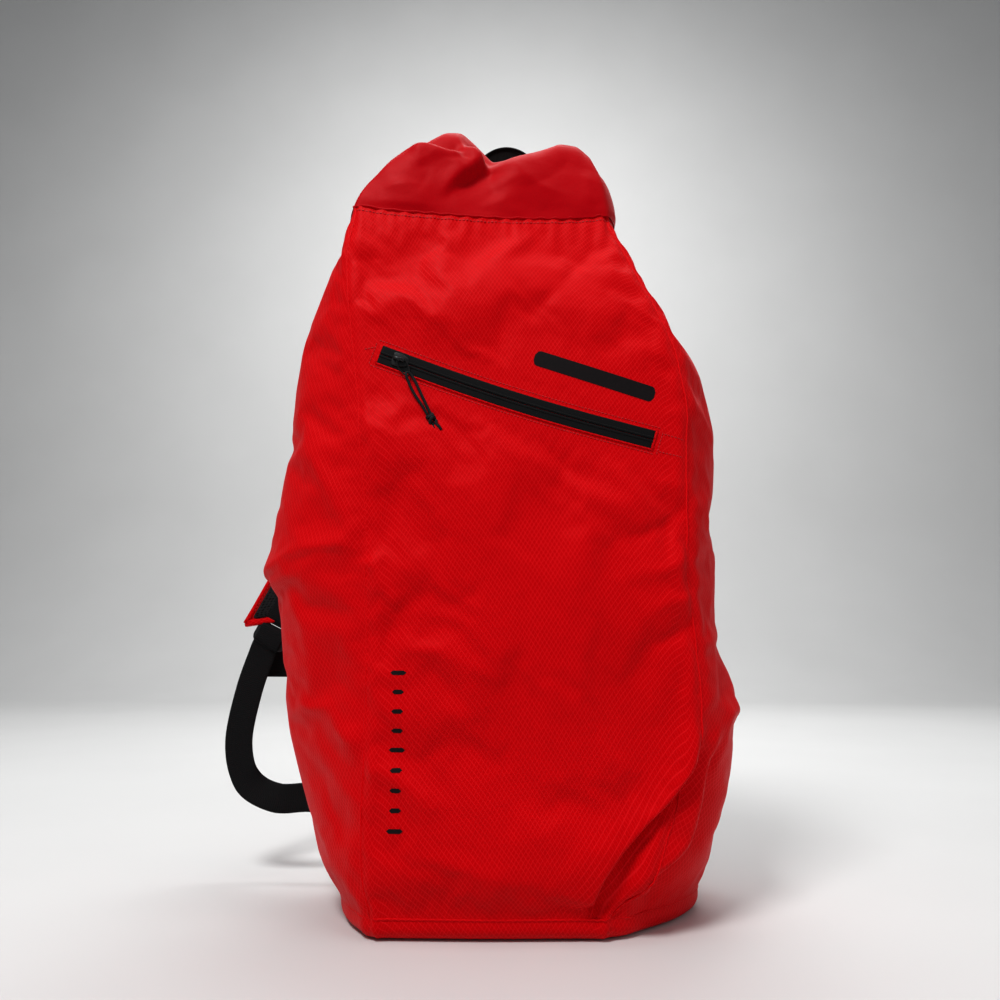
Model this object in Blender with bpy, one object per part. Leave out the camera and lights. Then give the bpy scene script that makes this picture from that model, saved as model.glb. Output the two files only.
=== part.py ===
"""Small roll-top packable daypack, standing upright: front towards -Y, +Z up, metres.

The origin is the middle of the flat base. The sack is a set of thin panels around one
hollow, closed by a rolled collar on top.
"""

import math

import bpy
import bmesh
from mathutils import Vector

# Driving dimensions, in metres
GAP = 0.0004            # clearance between neighbouring pieces
CLOTH = 0.0016          # thickness of a fabric panel with its seam allowance
SACK_TOP = 0.540        # height of the collar seam
COLLAR_TOP = 0.572      # height of the mouth
WEBBING = 0.0016        # thickness of webbing
STRAP_WIDTH = 0.056     # shoulder strap
STRAP_PAD = 0.0065      # its padding and outer cloth
LOWER_WEBBING = 0.0245  # width of the lower webbing
CLOSURE_WEBBING = 0.019  # width of the closure and sternum webbing
COLLAR_X = -0.026       # middle of the collar, left of the base's middle
SIDE_SPLIT = 0.0020     # half the gap at a side's fold, as a share of the side's depth

# Rows of the sack: height, middle, half widths at the front corner, at the side's fold and
# at the back corner, then the front and back planes
ROWS = (
    (0.000, 0.000, 0.098, 0.125, 0.112, -0.066, 0.066),
    (0.040, 0.002, 0.108, 0.147, 0.124, -0.070, 0.072),
    (0.130, 0.003, 0.118, 0.170, 0.134, -0.070, 0.076),
    (0.270, -0.006, 0.118, 0.178, 0.138, -0.070, 0.076),
    (0.390, -0.006, 0.125, 0.168, 0.134, -0.070, 0.068),
    (0.470, -0.018, 0.119, 0.142, 0.124, -0.070, 0.046),
    (0.540, COLLAR_X, 0.103, 0.112, 0.102, -0.064, 0.010),
    (0.580, COLLAR_X, 0.092, 0.098, 0.092, -0.058, 0.002),
)

FRONT, BACK = 4, 5      # places of the front and back planes in a row

# The zipper runs straight across the front plane, from its left end down to its right end
FRONT_Y = -0.070
ZIP_LEFT = Vector((-0.104, FRONT_Y, 0.417))
ZIP_RIGHT = Vector((0.103, FRONT_Y, 0.349))
ZIP_ALONG = (ZIP_RIGHT - ZIP_LEFT).normalized()
ZIP_UP = Vector((-ZIP_ALONG.z, 0.0, ZIP_ALONG.x))
ZIP_LENGTH = (ZIP_RIGHT - ZIP_LEFT).length
ZIP_SLOT = 0.0148       # slot between the two front panels
COIL_WIDTH = 0.0046
SLIDER_START = 0.016    # slider's middle from the zipper's left end, closed

# The roll's middle, and half its length
ROLL_Y = -0.030
ROLL_Z = 0.6005
ROLL_HALF_LENGTH = 0.085

# Corners of the stiffener strip inside the roll: x and height
STIFFENER = ((-0.088, 0.5860), (0.040, 0.5960))

# The shoulder straps' and lower webbings' middle lines, from top to bottom
STRAP_ROUTES = {
    "left": ((-0.064, 0.046, 0.500), (-0.070, 0.068, 0.470), (-0.086, 0.086, 0.430),
             (-0.112, 0.0935, 0.385), (-0.148, 0.0945, 0.332), (-0.185, 0.0930, 0.278),
             (-0.214, 0.0900, 0.222)),
    "right": ((0.020, 0.046, 0.500), (0.026, 0.068, 0.470), (0.042, 0.086, 0.430),
              (0.062, 0.0935, 0.385), (0.080, 0.0945, 0.332), (0.091, 0.0930, 0.278),
              (0.096, 0.0900, 0.222)),
}
LOWER_ROUTES = {
    "left": ((-0.2296, 0.0885, 0.1915), (-0.2400, 0.0880, 0.1560), (-0.2460, 0.0870, 0.1120),
             (-0.2360, 0.0860, 0.0800), (-0.2100, 0.0850, 0.0655), (-0.1800, 0.0830, 0.0660),
             (-0.1440, 0.0800, 0.0640)),
    "right": ((0.0979, 0.0888, 0.1905), (0.1010, 0.0880, 0.1560), (0.1080, 0.0870, 0.1180),
              (0.1200, 0.0850, 0.0860), (0.1330, 0.0820, 0.0640)),
}
ADJUSTER_LENGTH = 0.0240

RED = (0.62, 0.010, 0.014)
BLACK = (0.018, 0.018, 0.020)


def clear_scene():
    for thing in list(bpy.data.objects):
        bpy.data.objects.remove(thing, do_unlink=True)


def make_material(name, colour, roughness, metallic=0.0):
    """A Principled material for one sub-part."""
    material = bpy.data.materials.new(name)
    material.use_nodes = True
    shader = material.node_tree.nodes["Principled BSDF"]
    shader.inputs["Base Color"].default_value = (*colour, 1.0)
    shader.inputs["Roughness"].default_value = roughness
    shader.inputs["Metallic"].default_value = metallic
    material.diffuse_color = (*colour, 1.0)
    return material


def add_mesh(name, verts, faces, colour, roughness=0.6, metallic=0.0, origin=(0, 0, 0)):
    """One closed solid as an object, its faces turned outwards and its origin at a joint."""
    origin = Vector(origin)
    bm = bmesh.new()
    made = [bm.verts.new(Vector(v) - origin) for v in verts]
    for face in faces:
        bm.faces.new([made[i] for i in face])
    bmesh.ops.recalc_face_normals(bm, faces=bm.faces)
    mesh = bpy.data.meshes.new(name)
    bm.to_mesh(mesh)
    bm.free()
    mesh.materials.append(make_material(name, colour, roughness, metallic))
    thing = bpy.data.objects.new(name, mesh)
    thing.location = origin
    bpy.context.collection.objects.link(thing)
    return thing


def add_box(name, low, high, colour, roughness=0.6, metallic=0.0, origin=(0, 0, 0)):
    """An upright box between two corners."""
    verts = [
        (x, y, z) for z in (low[2], high[2]) for y in (low[1], high[1]) for x in (low[0], high[0])
    ]
    faces = [(0, 1, 3, 2), (4, 6, 7, 5), (0, 4, 5, 1), (1, 5, 7, 3), (3, 7, 6, 2), (2, 6, 4, 0)]
    return add_mesh(name, verts, faces, colour, roughness, metallic, origin)


def cut(thing, low, high):
    """Cut an upright box out of an object."""
    cutter = add_box(thing.name + "_cutter", low, high, BLACK)
    cutter.hide_render = True
    cutter.display_type = "WIRE"
    modifier = thing.modifiers.new("cut", "BOOLEAN")
    modifier.operation = "DIFFERENCE"
    modifier.solver = "EXACT"
    modifier.object = cutter


def bevel(thing, width):
    """Round the edges of a moulded piece."""
    modifier = thing.modifiers.new("edges", "BEVEL")
    modifier.width = width
    modifier.segments = 2
    modifier.limit_method = "ANGLE"


def loft(name, rings, colour, roughness=0.6, metallic=0.0, origin=(0, 0, 0)):
    """Bridge rings of the same number of points, and cap both ends."""
    count = len(rings[0])
    verts = [p for ring in rings for p in ring]
    faces = []
    for row in range(len(rings) - 1):
        for i in range(count):
            j = (i + 1) % count
            faces.append((row * count + i, row * count + j,
                          (row + 1) * count + j, (row + 1) * count + i))
    faces.append(tuple(range(count)))
    faces.append(tuple((len(rings) - 1) * count + i for i in range(count)))
    return add_mesh(name, verts, faces, colour, roughness, metallic, origin)


def smooth_path(points, steps):
    """Points along a Catmull-Rom curve through the given points."""
    points = [Vector(p) for p in points]
    ends = [2 * points[0] - points[1], *points, 2 * points[-1] - points[-2]]
    path = []
    for i in range(len(points) - 1):
        a, b, c, d = ends[i:i + 4]
        for k in range(steps):
            t = k / steps
            path.append(0.5 * (2 * b + (c - a) * t + (2 * a - 5 * b + 4 * c - d) * t * t
                               + (3 * b - a - 3 * c + d) * t ** 3))
    path.append(points[-1])
    return path


def directions(path):
    """Unit tangents along a path."""
    last = len(path) - 1
    return [(path[min(i + 1, last)] - path[max(i - 1, 0)]).normalized() for i in range(last + 1)]


def ribbon(name, path, across, width, thick, colour, roughness=0.7, lift=0.0, origin=(0, 0, 0)):
    """A strap along a path. across is roughly the direction of its width, and lift moves it
    along its own face normal."""
    rings = []
    for point, along in zip(path, directions(path)):
        side = Vector(across) - along * along.dot(Vector(across))
        side.normalize()
        normal = along.cross(side)
        middle = point + normal * lift
        w = side * width / 2
        n = normal * thick / 2
        rings.append([middle - w - n, middle + w - n, middle + w + n, middle - w + n])
    return loft(name, rings, colour, roughness, origin=origin)


# ---- The sack's surface ----

def row_at(z):
    """The sack's measures at a height, between the rows above."""
    for low, high in zip(ROWS, ROWS[1:]):
        if z <= high[0]:
            share = (z - low[0]) / (high[0] - low[0])
            return [a + (b - a) * share for a, b in zip(low, high)][1:]
    return list(ROWS[-1][1:])


def side_point(sign, t, z):
    """A point of the side panel's outer face. t runs from the front corner, 0, to the back, 1."""
    middle, front, fold, back, front_y, back_y = row_at(z)
    half = (2 * (t - 0.5) * (t - 1) * front + 4 * t * (1 - t) * fold + 2 * t * (t - 0.5) * back)
    return Vector((middle + sign * half, front_y + (back_y - front_y) * t, z))


def side_curve(sign, z, inset, steps=7, start=0.0, end=1.0):
    """The side panel's section at a height, moved inwards by inset."""
    curve = []
    for k in range(steps + 1):
        t = start + (end - start) * k / steps
        along = side_point(sign, min(t + 0.01, 1), z) - side_point(sign, max(t - 0.01, 0), z)
        inward = Vector((-sign * along.y, sign * along.x, 0)).normalized()
        curve.append(side_point(sign, t, z) + inward * inset)
    return curve


def levels(low, high):
    """The heights of the rows between two heights, both ends included."""
    return [low, *[row[0] for row in ROWS if low + 0.001 < row[0] < high - 0.001], high]


def side_panel(name, sign, low, high, colour, start=0.0, end=1.0, steps=7):
    """A side of the sack, or the part of it from start to end, bulging out at its fold."""
    rings = []
    for z in levels(low, high):
        outer = side_curve(sign, z, 0.0, steps, start, end)
        inner = side_curve(sign, z, CLOTH, steps, start, end)
        rings.append(outer + inner[::-1])
    return loft(name, rings, colour)


def flat_panel(name, plane, left, right, offset, thick, inset, colour, columns=1, corner=None):
    """A panel on the front plane (FRONT) or the back plane (BACK).

    left and right are its rows' heights at its two edges, offset is its outer face's distance
    inside that plane, and inset is how far its edges stay inside the corners.
    """
    inwards = 1.0 if plane == FRONT else -1.0
    half_index = 1 if plane == FRONT else 3
    rings = []
    for left_z, right_z in zip(left, right):
        outer, inner = [], []
        ends = []
        for sign, z in ((-1, left_z), (1, right_z)):
            row = row_at(z)
            ends.append(row[0] + sign * ((corner or row[half_index]) - inset))
        for k in range(columns + 1):
            share = k / columns
            z = left_z + (right_z - left_z) * share
            x = ends[0] + (ends[1] - ends[0]) * share
            y = row_at(z)[plane] + inwards * offset
            outer.append(Vector((x, y, z)))
            inner.append(Vector((x, y + inwards * thick, z)))
        rings.append(outer + inner[::-1])
    return loft(name, rings, colour)


def level_rows(low, high):
    """The same heights at both ends of each row."""
    return levels(low, high), levels(low, high)


def zip_height(x, shift):
    """Height of a line parallel to the zipper, shifted across it, above the given x."""
    start = ZIP_LEFT + ZIP_UP * shift
    return start.z + (x - start.x) * ZIP_ALONG.z / ZIP_ALONG.x


def zip_edge_height(sign, inset, shift):
    """Where that line meets a side edge of the front panel."""
    z = ZIP_LEFT.z
    for _ in range(12):
        row = row_at(z)
        z = zip_height(row[0] + sign * (row[1] - inset), shift)
    return z


def make_sack():
    edge = CLOTH + 0.0010
    front_edge = CLOTH + 0.0026
    split = ZIP_SLOT / 2
    low_left = zip_edge_height(-1, front_edge, -split)
    low_right = zip_edge_height(1, front_edge, -split)
    up_left = zip_edge_height(-1, front_edge, split)
    up_right = zip_edge_height(1, front_edge, split)

    shares = [k / 10 for k in range(11)]
    flat_panel("front_panel_lower", FRONT, [r * low_left for r in shares],
               [r * low_right for r in shares], 0.0, CLOTH, front_edge, RED, columns=4)
    flat_panel("front_panel_upper", FRONT,
               [up_left + (SACK_TOP - up_left) * r for r in shares],
               [up_right + (SACK_TOP - up_right) * r for r in shares],
               0.0, CLOTH, front_edge, RED, columns=4)
    flat_panel("back_panel", BACK, *level_rows(0.0, SACK_TOP), 0.0, CLOTH, edge, RED)
    for sign, side in ((-1, "left"), (1, "right")):
        side_panel("side_panel_%s_front" % side, sign, 0.0, SACK_TOP, RED, 0.0,
                   0.5 - SIDE_SPLIT, 4)
        side_panel("side_panel_%s_back" % side, sign, 0.0, SACK_TOP, RED, 0.5 + SIDE_SPLIT,
                   1.0, 4)
    make_bottom_panel()
    make_collar(edge)


def make_bottom_panel():
    """The flat base, inside the walls' lower edges."""
    inset = CLOTH + 0.0008
    outline = []
    for sign in (1, -1):
        curve = side_curve(sign, 0.0, inset, steps=8, start=0.04, end=0.96)
        low_y = row_at(0.0)[4] + inset
        high_y = row_at(0.0)[5] - inset
        curve = [Vector((p.x, min(max(p.y, low_y), high_y), 0.0)) for p in curve]
        outline += curve if sign > 0 else curve[::-1]
    up = Vector((0, 0, 0.003))
    loft("bottom_panel", [outline, [p + up for p in outline]], RED)


def make_collar(edge):
    """The mouth's four walls, between the seam and the roll."""
    low = SACK_TOP + GAP
    flat_panel("collar_front", FRONT, *level_rows(low, COLLAR_TOP), 0.0, CLOTH, edge, RED)
    flat_panel("collar_back", BACK, *level_rows(low, COLLAR_TOP), 0.0, CLOTH, edge, RED)
    side_panel("collar_side_left", -1, low, COLLAR_TOP, RED)
    side_panel("collar_side_right", 1, low, COLLAR_TOP, RED)


def make_back():
    """Frame sheet in its sleeve inside the back panel, and the padding outside it."""
    inside = CLOTH + GAP
    flat_panel("frame_sheet", BACK, *level_rows(0.012, 0.455), inside, 0.0022, 0.0, BLACK,
               corner=0.100)
    flat_panel("frame_sleeve", BACK, *level_rows(0.010, 0.465), inside + 0.0022 + GAP, 0.0010,
               0.0, BLACK, corner=0.106)
    flat_panel("back_padding", BACK, *level_rows(0.045, 0.462), -0.0054, 0.0050, 0.0, BLACK,
               corner=0.108)


def make_pocket():
    """The front pocket's lining: a shallow tray behind the front panels, open to the front."""
    front = FRONT_Y + CLOTH + GAP
    depth = 0.0125
    tray = add_box("pocket_lining", (-0.098, front, 0.150), (0.102, front + depth, 0.434), RED)
    cut(tray, (-0.0966, front - 0.01, 0.1514), (0.1006, front + depth - 0.0014, 0.4326))


# ---- Zipper ----

def zip_bar(name, start, end, low, high, front, back, colour, roughness=0.6, metallic=0.0,
            origin=(0, 0, 0)):
    """A bar along the zipper: from start to end along it, low to high across it, and front to
    back in depth from the front plane."""
    base = ZIP_LEFT
    rings = []
    for s in (start, end):
        ring = []
        for v, depth in ((low, front), (high, front), (high, back), (low, back)):
            ring.append(base + ZIP_ALONG * s + ZIP_UP * v + Vector((0, depth, 0)))
        rings.append(ring)
    return loft(name, rings, colour, roughness, metallic, origin)


def make_zipper():
    half = ZIP_SLOT / 2 - GAP
    coil = COIL_WIDTH / 2
    for name, low, high in (
        ("zipper_tape_lower", -half, -coil - GAP),
        ("zipper_tape_upper", coil + GAP, half),
    ):
        zip_bar(name, 0.0, ZIP_LENGTH, low, high, 0.0, 0.0012, BLACK, 0.8)
    make_coil(coil)
    zip_bar("zipper_end_left", -0.0240, -GAP, -half, half, 0.0, 0.0012, RED)
    zip_bar("zipper_end_right", ZIP_LENGTH + GAP, ZIP_LENGTH + 0.0090, -half, half, 0.0, 0.0012,
            RED)
    make_slider(coil)
    make_puller()


def make_coil(coil):
    """The zipper's chain: a ridged bar, proud of the tapes."""
    rings = []
    ridges = 36
    for k in range(ridges * 2 + 1):
        s = ZIP_LENGTH * k / (ridges * 2)
        front = -0.0011 if k % 2 else -0.0007
        ring = []
        for v, depth in ((-coil, 0.0), (-coil * 0.6, front), (coil * 0.6, front), (coil, 0.0),
                         (coil, 0.0011), (-coil, 0.0011)):
            ring.append(ZIP_LEFT + ZIP_ALONG * s + ZIP_UP * v + Vector((0, depth, 0)))
        rings.append(ring)
    loft("zipper_coil", rings, BLACK, 0.45)


def make_slider(coil):
    """A plate over the chain, tapered to its nose, with a bridge for the pull."""
    middle = ZIP_LEFT + ZIP_ALONG * SLIDER_START
    rings = []
    for s, half in ((-0.0045, 0.0046), (0.0, 0.0048), (0.0055, 0.0034)):
        ring = []
        channel = coil + 0.0002
        section = ((-half, -0.0028), (half, -0.0028), (half, -0.0004), (channel, -0.0004),
                   (channel, -0.0015), (-channel, -0.0015), (-channel, -0.0004), (-half, -0.0004))
        for v, depth in section:
            v = max(-half, min(half, v))
            ring.append(middle + ZIP_ALONG * s + ZIP_UP * v + Vector((0, depth, 0)))
        rings.append(ring)
    loft("zipper_slider", rings, BLACK, 0.35, 0.6)


def make_puller():
    """A wire bail hanging in front of the slider, with a cord knotted at its end."""
    axis = ZIP_LEFT + ZIP_ALONG * SLIDER_START + Vector((0, -0.0048, 0))
    down = Vector((0.470, 0.0, -0.883))
    side = Vector((0.883, 0.0, 0.470))
    length = 0.0150
    wire = 0.0006
    rings = []
    for turn in range(24):
        c = math.cos(2 * math.pi * turn / 24)
        s = math.sin(2 * math.pi * turn / 24)
        middle = axis + down * (length / 2 * (1 - c)) + side * (0.0034 * s)
        outward = (down * (-c) + side * s).normalized()
        ring = []
        for k in range(6):
            angle = 2 * math.pi * k / 6
            ring.append(middle + outward * wire * math.cos(angle)
                        + Vector((0, wire * math.sin(angle), 0)))
        rings.append(ring)
    count = len(rings)
    verts = [p for ring in rings for p in ring]
    faces = []
    for row in range(count):
        other = (row + 1) % count
        for i in range(6):
            j = (i + 1) % 6
            faces.append((row * 6 + i, row * 6 + j, other * 6 + j, other * 6 + i))
    add_mesh("zipper_puller", verts, faces, BLACK, 0.3, 0.8, origin=axis)
    make_pull_cord(axis, down, side, length)


def make_pull_cord(axis, down, side, start):
    """The cord below the bail, and its knot."""
    route = [
        axis + down * (start + 0.0012),
        axis + down * 0.026 + Vector((0.0012, 0, 0)),
        axis + down * 0.038 + Vector((0.0004, 0, 0)),
        axis + down * 0.050,
    ]
    path = smooth_path(route, 4)
    curve = bpy.data.curves.new("pull_cord", "CURVE")
    curve.dimensions = "3D"
    curve.bevel_depth = 0.0011
    curve.bevel_resolution = 2
    curve.use_fill_caps = True
    spline = curve.splines.new("POLY")
    spline.points.add(len(path) - 1)
    for target, point in zip(spline.points, path):
        target.co = (*(point - axis), 1.0)
    curve.materials.append(make_material("pull_cord", BLACK, 0.8))
    cord = bpy.data.objects.new("pull_cord", curve)
    cord.location = axis
    bpy.context.collection.objects.link(cord)

    rings = []
    for s, radius in ((0.0504, 0.0010), (0.0515, 0.0025), (0.0545, 0.0030), (0.0575, 0.0024),
                      (0.0590, 0.0009)):
        ring = []
        for k in range(10):
            angle = 2 * math.pi * k / 10
            across = side * math.cos(angle) + Vector((0, math.sin(angle), 0))
            ring.append(axis + down * s + across * radius)
        rings.append(ring)
    loft("pull_knot", rings, BLACK, 0.8, origin=axis)


# ---- Roll-top ----

def oval(x, half_y, half_z, count=16):
    return [
        Vector((x, ROLL_Y + half_y * math.cos(2 * math.pi * k / count),
                ROLL_Z + half_z * math.sin(2 * math.pi * k / count)))
        for k in range(count)
    ]


def make_roll():
    """The rolled collar: an open-ended oval tube round its stiffener strip."""
    stations = [COLLAR_X + ROLL_HALF_LENGTH * (k / 6 * 2 - 1) for k in range(7)]
    outer = [oval(x, 0.0240, 0.0280) for x in stations]
    inner = [oval(x, 0.0120, 0.0160) for x in stations]
    count = 16
    verts = [p for ring in outer + inner for p in ring]
    shift = len(stations) * count
    faces = []
    for row in range(len(stations) - 1):
        for i in range(count):
            j = (i + 1) % count
            a, b = row * count, (row + 1) * count
            faces.append((a + i, a + j, b + j, b + i))
            faces.append((shift + a + i, shift + b + i, shift + b + j, shift + a + j))
    last = (len(stations) - 1) * count
    for i in range(count):
        j = (i + 1) % count
        faces.append((i, shift + i, shift + j, j))
        faces.append((last + i, last + j, shift + last + j, shift + last + i))
    add_mesh("rolled_collar", verts, faces, RED)
    low, high = STIFFENER
    add_box("closure_stiffener", (low[0], ROLL_Y - 0.0008, low[1]),
            (high[0], ROLL_Y + 0.0008, high[1]), BLACK)


def roll_end_path(sign):
    offsets = ((0.0880, -0.030, 0.600), (0.1040, -0.018, 0.597), (0.1085, 0.012, 0.591),
               (0.0960, 0.040, 0.583), (0.0700, 0.055, 0.578), (0.0600, 0.0565, 0.577))
    return smooth_path([(COLLAR_X + sign * x, y, z) for x, y, z in offsets], 3)


def make_closure():
    """The roll's ends bent back, and the webbing and buckle that join them."""
    for sign, side in ((-1, "left"), (1, "right")):
        ribbon("roll_end_" + side, roll_end_path(sign), (0, 0, 1), 0.028, 0.008, RED)
        inner = 0.0310 if sign > 0 else 0.0280
        path = [Vector((COLLAR_X + sign * (0.0585 + (inner - 0.0585) * k / 3), 0.0567, 0.577))
                for k in range(4)]
        ribbon("closure_webbing_" + side, path, (0, 0, 1), CLOSURE_WEBBING, WEBBING, BLACK)

    y, z = 0.0567, 0.577
    low_x, high_x = COLLAR_X - 0.0275, COLLAR_X + 0.0050
    female = add_box("closure_buckle_female", (low_x, y - 0.0046, z - 0.0130),
                     (high_x, y + 0.0046, z + 0.0130), BLACK, 0.4)
    cut(female, (high_x - 0.0225, y - 0.0028, z - 0.0102), (high_x + 0.01, y + 0.0028, z + 0.0102))
    bevel(female, 0.0006)
    make_buckle_male(high_x, y, z)


def make_buckle_male(mouth, y, z):
    """The male half: a base with a webbing bar, two side arms and a middle tongue."""
    reach = 0.0215
    outline = [
        (0.0004, -0.0125), (0.0250, -0.0125), (0.0250, 0.0125), (0.0004, 0.0125),
        (0.0004, 0.0098), (-reach, 0.0098), (-reach, 0.0068), (-0.0010, 0.0068),
        (-0.0010, 0.0022), (-reach + 0.002, 0.0022), (-reach + 0.002, -0.0022), (-0.0010, -0.0022),
        (-0.0010, -0.0068), (-reach, -0.0068), (-reach, -0.0098), (0.0004, -0.0098),
    ]
    front = [Vector((mouth + x, y - 0.0023, z + h)) for x, h in outline]
    back = [Vector((mouth + x, y + 0.0023, z + h)) for x, h in outline]
    male = loft("closure_buckle_male", [front, back], BLACK, 0.4)
    cut(male, (mouth + 0.0190, y - 0.01, z - 0.0102), (mouth + 0.0222, y + 0.01, z + 0.0102))
    bevel(male, 0.0005)


def make_handle():
    """A webbing loop standing on the back of the collar."""
    x, y, foot, top = -0.006, 0.0185, 0.5560, 0.6480
    half = 0.040
    path = []
    for k in range(17):
        angle = math.pi * k / 16
        height = foot + (top - foot) * math.sin(angle) ** 0.7
        path.append(Vector((x - half * math.cos(angle), y, height)))
    ribbon("grab_handle", path, (0, 1, 0), 0.0200, 0.0026, BLACK, origin=(x, y, foot))


# ---- Shoulder straps ----


def make_strap(side):
    path = smooth_path(STRAP_ROUTES[side], 3)
    top = path[0]
    ribbon("shoulder_strap_" + side, path, (1, 0, 0), STRAP_WIDTH, STRAP_PAD, RED, lift=0.0,
           origin=top)
    shift = STRAP_PAD / 2 + 0.0020
    ribbon("strap_lining_" + side, path, (1, 0, 0), STRAP_WIDTH - 0.004, 0.0012, BLACK,
           lift=shift * strap_face(path), origin=top)
    return path


def strap_face(path):
    """+1 or -1: which way a lift moves a strap's ribbon towards the wearer's side, -Y."""
    along = directions(path)[len(path) // 2]
    side = Vector((1, 0, 0)) - along * along.x
    return -1.0 if along.cross(side).y > 0 else 1.0


def make_adjuster(side, path):
    """The ladder-lock below the strap's end, its bars across the strap."""
    end = path[-1]
    along = (path[-1] - path[-2]).normalized()
    across = Vector((1, 0, 0)) - along * along.x
    across.normalize()
    normal = along.cross(across)
    start = 0.0030
    half = 0.0150
    frame = [(start, -half), (start, half), (start + ADJUSTER_LENGTH, half),
             (start + ADJUSTER_LENGTH, -half)]
    rings = []
    for depth in (-0.0021, 0.0021):
        rings.append([end + along * a + across * b + normal * depth for a, b in frame])
    lock = loft("ladder_lock_" + side, rings, BLACK, 0.4, origin=end)
    for index, (low, high) in enumerate(((0.0070, 0.0114), (0.0170, 0.0216))):
        slot = [(low, -half + 0.0024), (low, half - 0.0024), (high, half - 0.0024),
                (high, -half + 0.0024)]
        slot_rings = []
        for depth in (-0.01, 0.01):
            slot_rings.append([end + along * a + across * b + normal * depth for a, b in slot])
        cutter = loft("ladder_lock_%s_cutter_%d" % (side, index), slot_rings, BLACK)
        cutter.hide_render = True
        cutter.display_type = "WIRE"
        modifier = lock.modifiers.new("slot", "BOOLEAN")
        modifier.operation = "DIFFERENCE"
        modifier.solver = "EXACT"
        modifier.object = cutter
    bevel(lock, 0.0005)


def make_lower_webbing(side):
    path = smooth_path(LOWER_ROUTES[side], 4)
    rings = []
    for point, along in zip(path, directions(path)):
        across = along.cross(Vector((0, 1, 0))).normalized()
        w = across * LOWER_WEBBING / 2
        n = across.cross(along).normalized() * WEBBING / 2
        rings.append([point - w - n, point + w - n, point + w + n, point - w + n])
    loft("lower_webbing_" + side, rings, BLACK, 0.8)


def make_tail(side, strap_path):
    """The free end of the webbing, hanging behind the ladder-lock."""
    end = strap_path[-1]
    along = (strap_path[-1] - strap_path[-2]).normalized()
    start = end + along * 0.0125 + Vector((0, 0.0062, 0))
    path = smooth_path([start, start + Vector((0.002, 0.0035, -0.014)),
                        start + Vector((0.003, 0.0050, -0.028)),
                        start + Vector((0.003, 0.0050, -0.042))], 3)
    ribbon("webbing_tail_" + side, path, (1, 0, 0), LOWER_WEBBING - 0.002, WEBBING, BLACK, 0.8,
           origin=end)


def make_anchors():
    """Sewn tabs at the bottom corners, and the yoke over the straps' upper ends."""
    for sign, side, outer in ((-1, "left", -0.1430), (1, "right", 0.1330)):
        inner_x = sign * 0.1125
        y0, y1 = 0.0772, 0.0790
        z0, z1 = 0.0480, 0.0840
        if sign < 0:
            tip = outer + 0.0004
        else:
            tip = outer - 0.0120
            z0, z1 = 0.0300, 0.0500
        verts = [(inner_x, y0, z0), (tip, y0, z0 + 0.006), (tip, y0, z1 - 0.006), (inner_x, y0, z1)]
        rings = [[Vector(v) for v in verts], [Vector((v[0], y1, v[2])) for v in verts]]
        loft("anchor_tab_" + side, rings, RED)
    yoke = []
    for z in (0.4780, 0.4900, 0.5020, 0.5140):
        y = row_at(z)[5] + GAP
        left, right = COLLAR_X - 0.068, COLLAR_X + 0.072
        yoke.append([Vector((left, y, z)), Vector((right, y, z)),
                     Vector((right, y + 0.0016, z)), Vector((left, y + 0.0016, z))])
    loft("strap_yoke", yoke, RED)


def make_sternum(side, path):
    """A clip on the shoulder strap, with a short webbing and a buckle half hanging from it."""
    sign = -1 if side == "left" else 1
    index = 9
    point = path[index]
    along = directions(path)[index]
    across = Vector((1, 0, 0)) - along * along.x
    across.normalize()
    normal = along.cross(across)
    if normal.y < 0:
        normal = -normal
    rings = []
    for depth in (STRAP_PAD / 2 + 0.0012, STRAP_PAD / 2 + 0.0052):
        rings.append([point + along * a + across * b + normal * depth
                      for a, b in ((-0.006, -0.013), (-0.006, 0.013), (0.006, 0.013),
                                   (0.006, -0.013))])
    clip = loft("sternum_clip_" + side, rings, BLACK, 0.4, origin=point)
    bevel(clip, 0.0008)
    y = point.y + 0.0128
    top = Vector((point.x, y, point.z + 0.004))
    length = 0.075
    web = [top, top + Vector((0, 0.0006, -length / 2)), top + Vector((0, 0.0006, -length))]
    ribbon("sternum_webbing_" + side, web, (1, 0, 0), CLOSURE_WEBBING, WEBBING, BLACK, 0.8,
           origin=point)
    mouth = top + Vector((0, 0.0006, -length - 0.0004))
    if sign < 0:
        buckle = add_box("sternum_buckle_female", mouth - Vector((0.0130, 0.0046, 0.0330)),
                         mouth + Vector((0.0130, 0.0046, 0)), BLACK, 0.4, origin=point)
        cut(buckle, mouth - Vector((0.0102, 0.0028, 0.05)), mouth + Vector((0.0102, 0.0028, -0.011)))
        bevel(buckle, 0.0006)
    else:
        make_hanging_male(mouth, point)


def make_hanging_male(mouth, origin):
    reach = 0.0465
    outline = [
        (-0.0125, 0.0), (0.0125, 0.0), (0.0125, -0.0246), (0.0098, -0.0246), (0.0098, -reach),
        (0.0068, -reach), (0.0068, -0.0256), (0.0022, -0.0256), (0.0022, -reach + 0.002),
        (-0.0022, -reach + 0.002), (-0.0022, -0.0256), (-0.0068, -0.0256), (-0.0068, -reach),
        (-0.0098, -reach), (-0.0098, -0.0246), (-0.0125, -0.0246),
    ]
    front = [mouth + Vector((x, -0.0023, h)) for x, h in outline]
    back = [mouth + Vector((x, 0.0023, h)) for x, h in outline]
    male = loft("sternum_buckle_male", [front, back], BLACK, 0.4, origin=origin)
    cut(male, mouth + Vector((-0.0102, -0.01, -0.0062)), mouth + Vector((0.0102, 0.01, -0.0030)))
    bevel(male, 0.0005)


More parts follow.
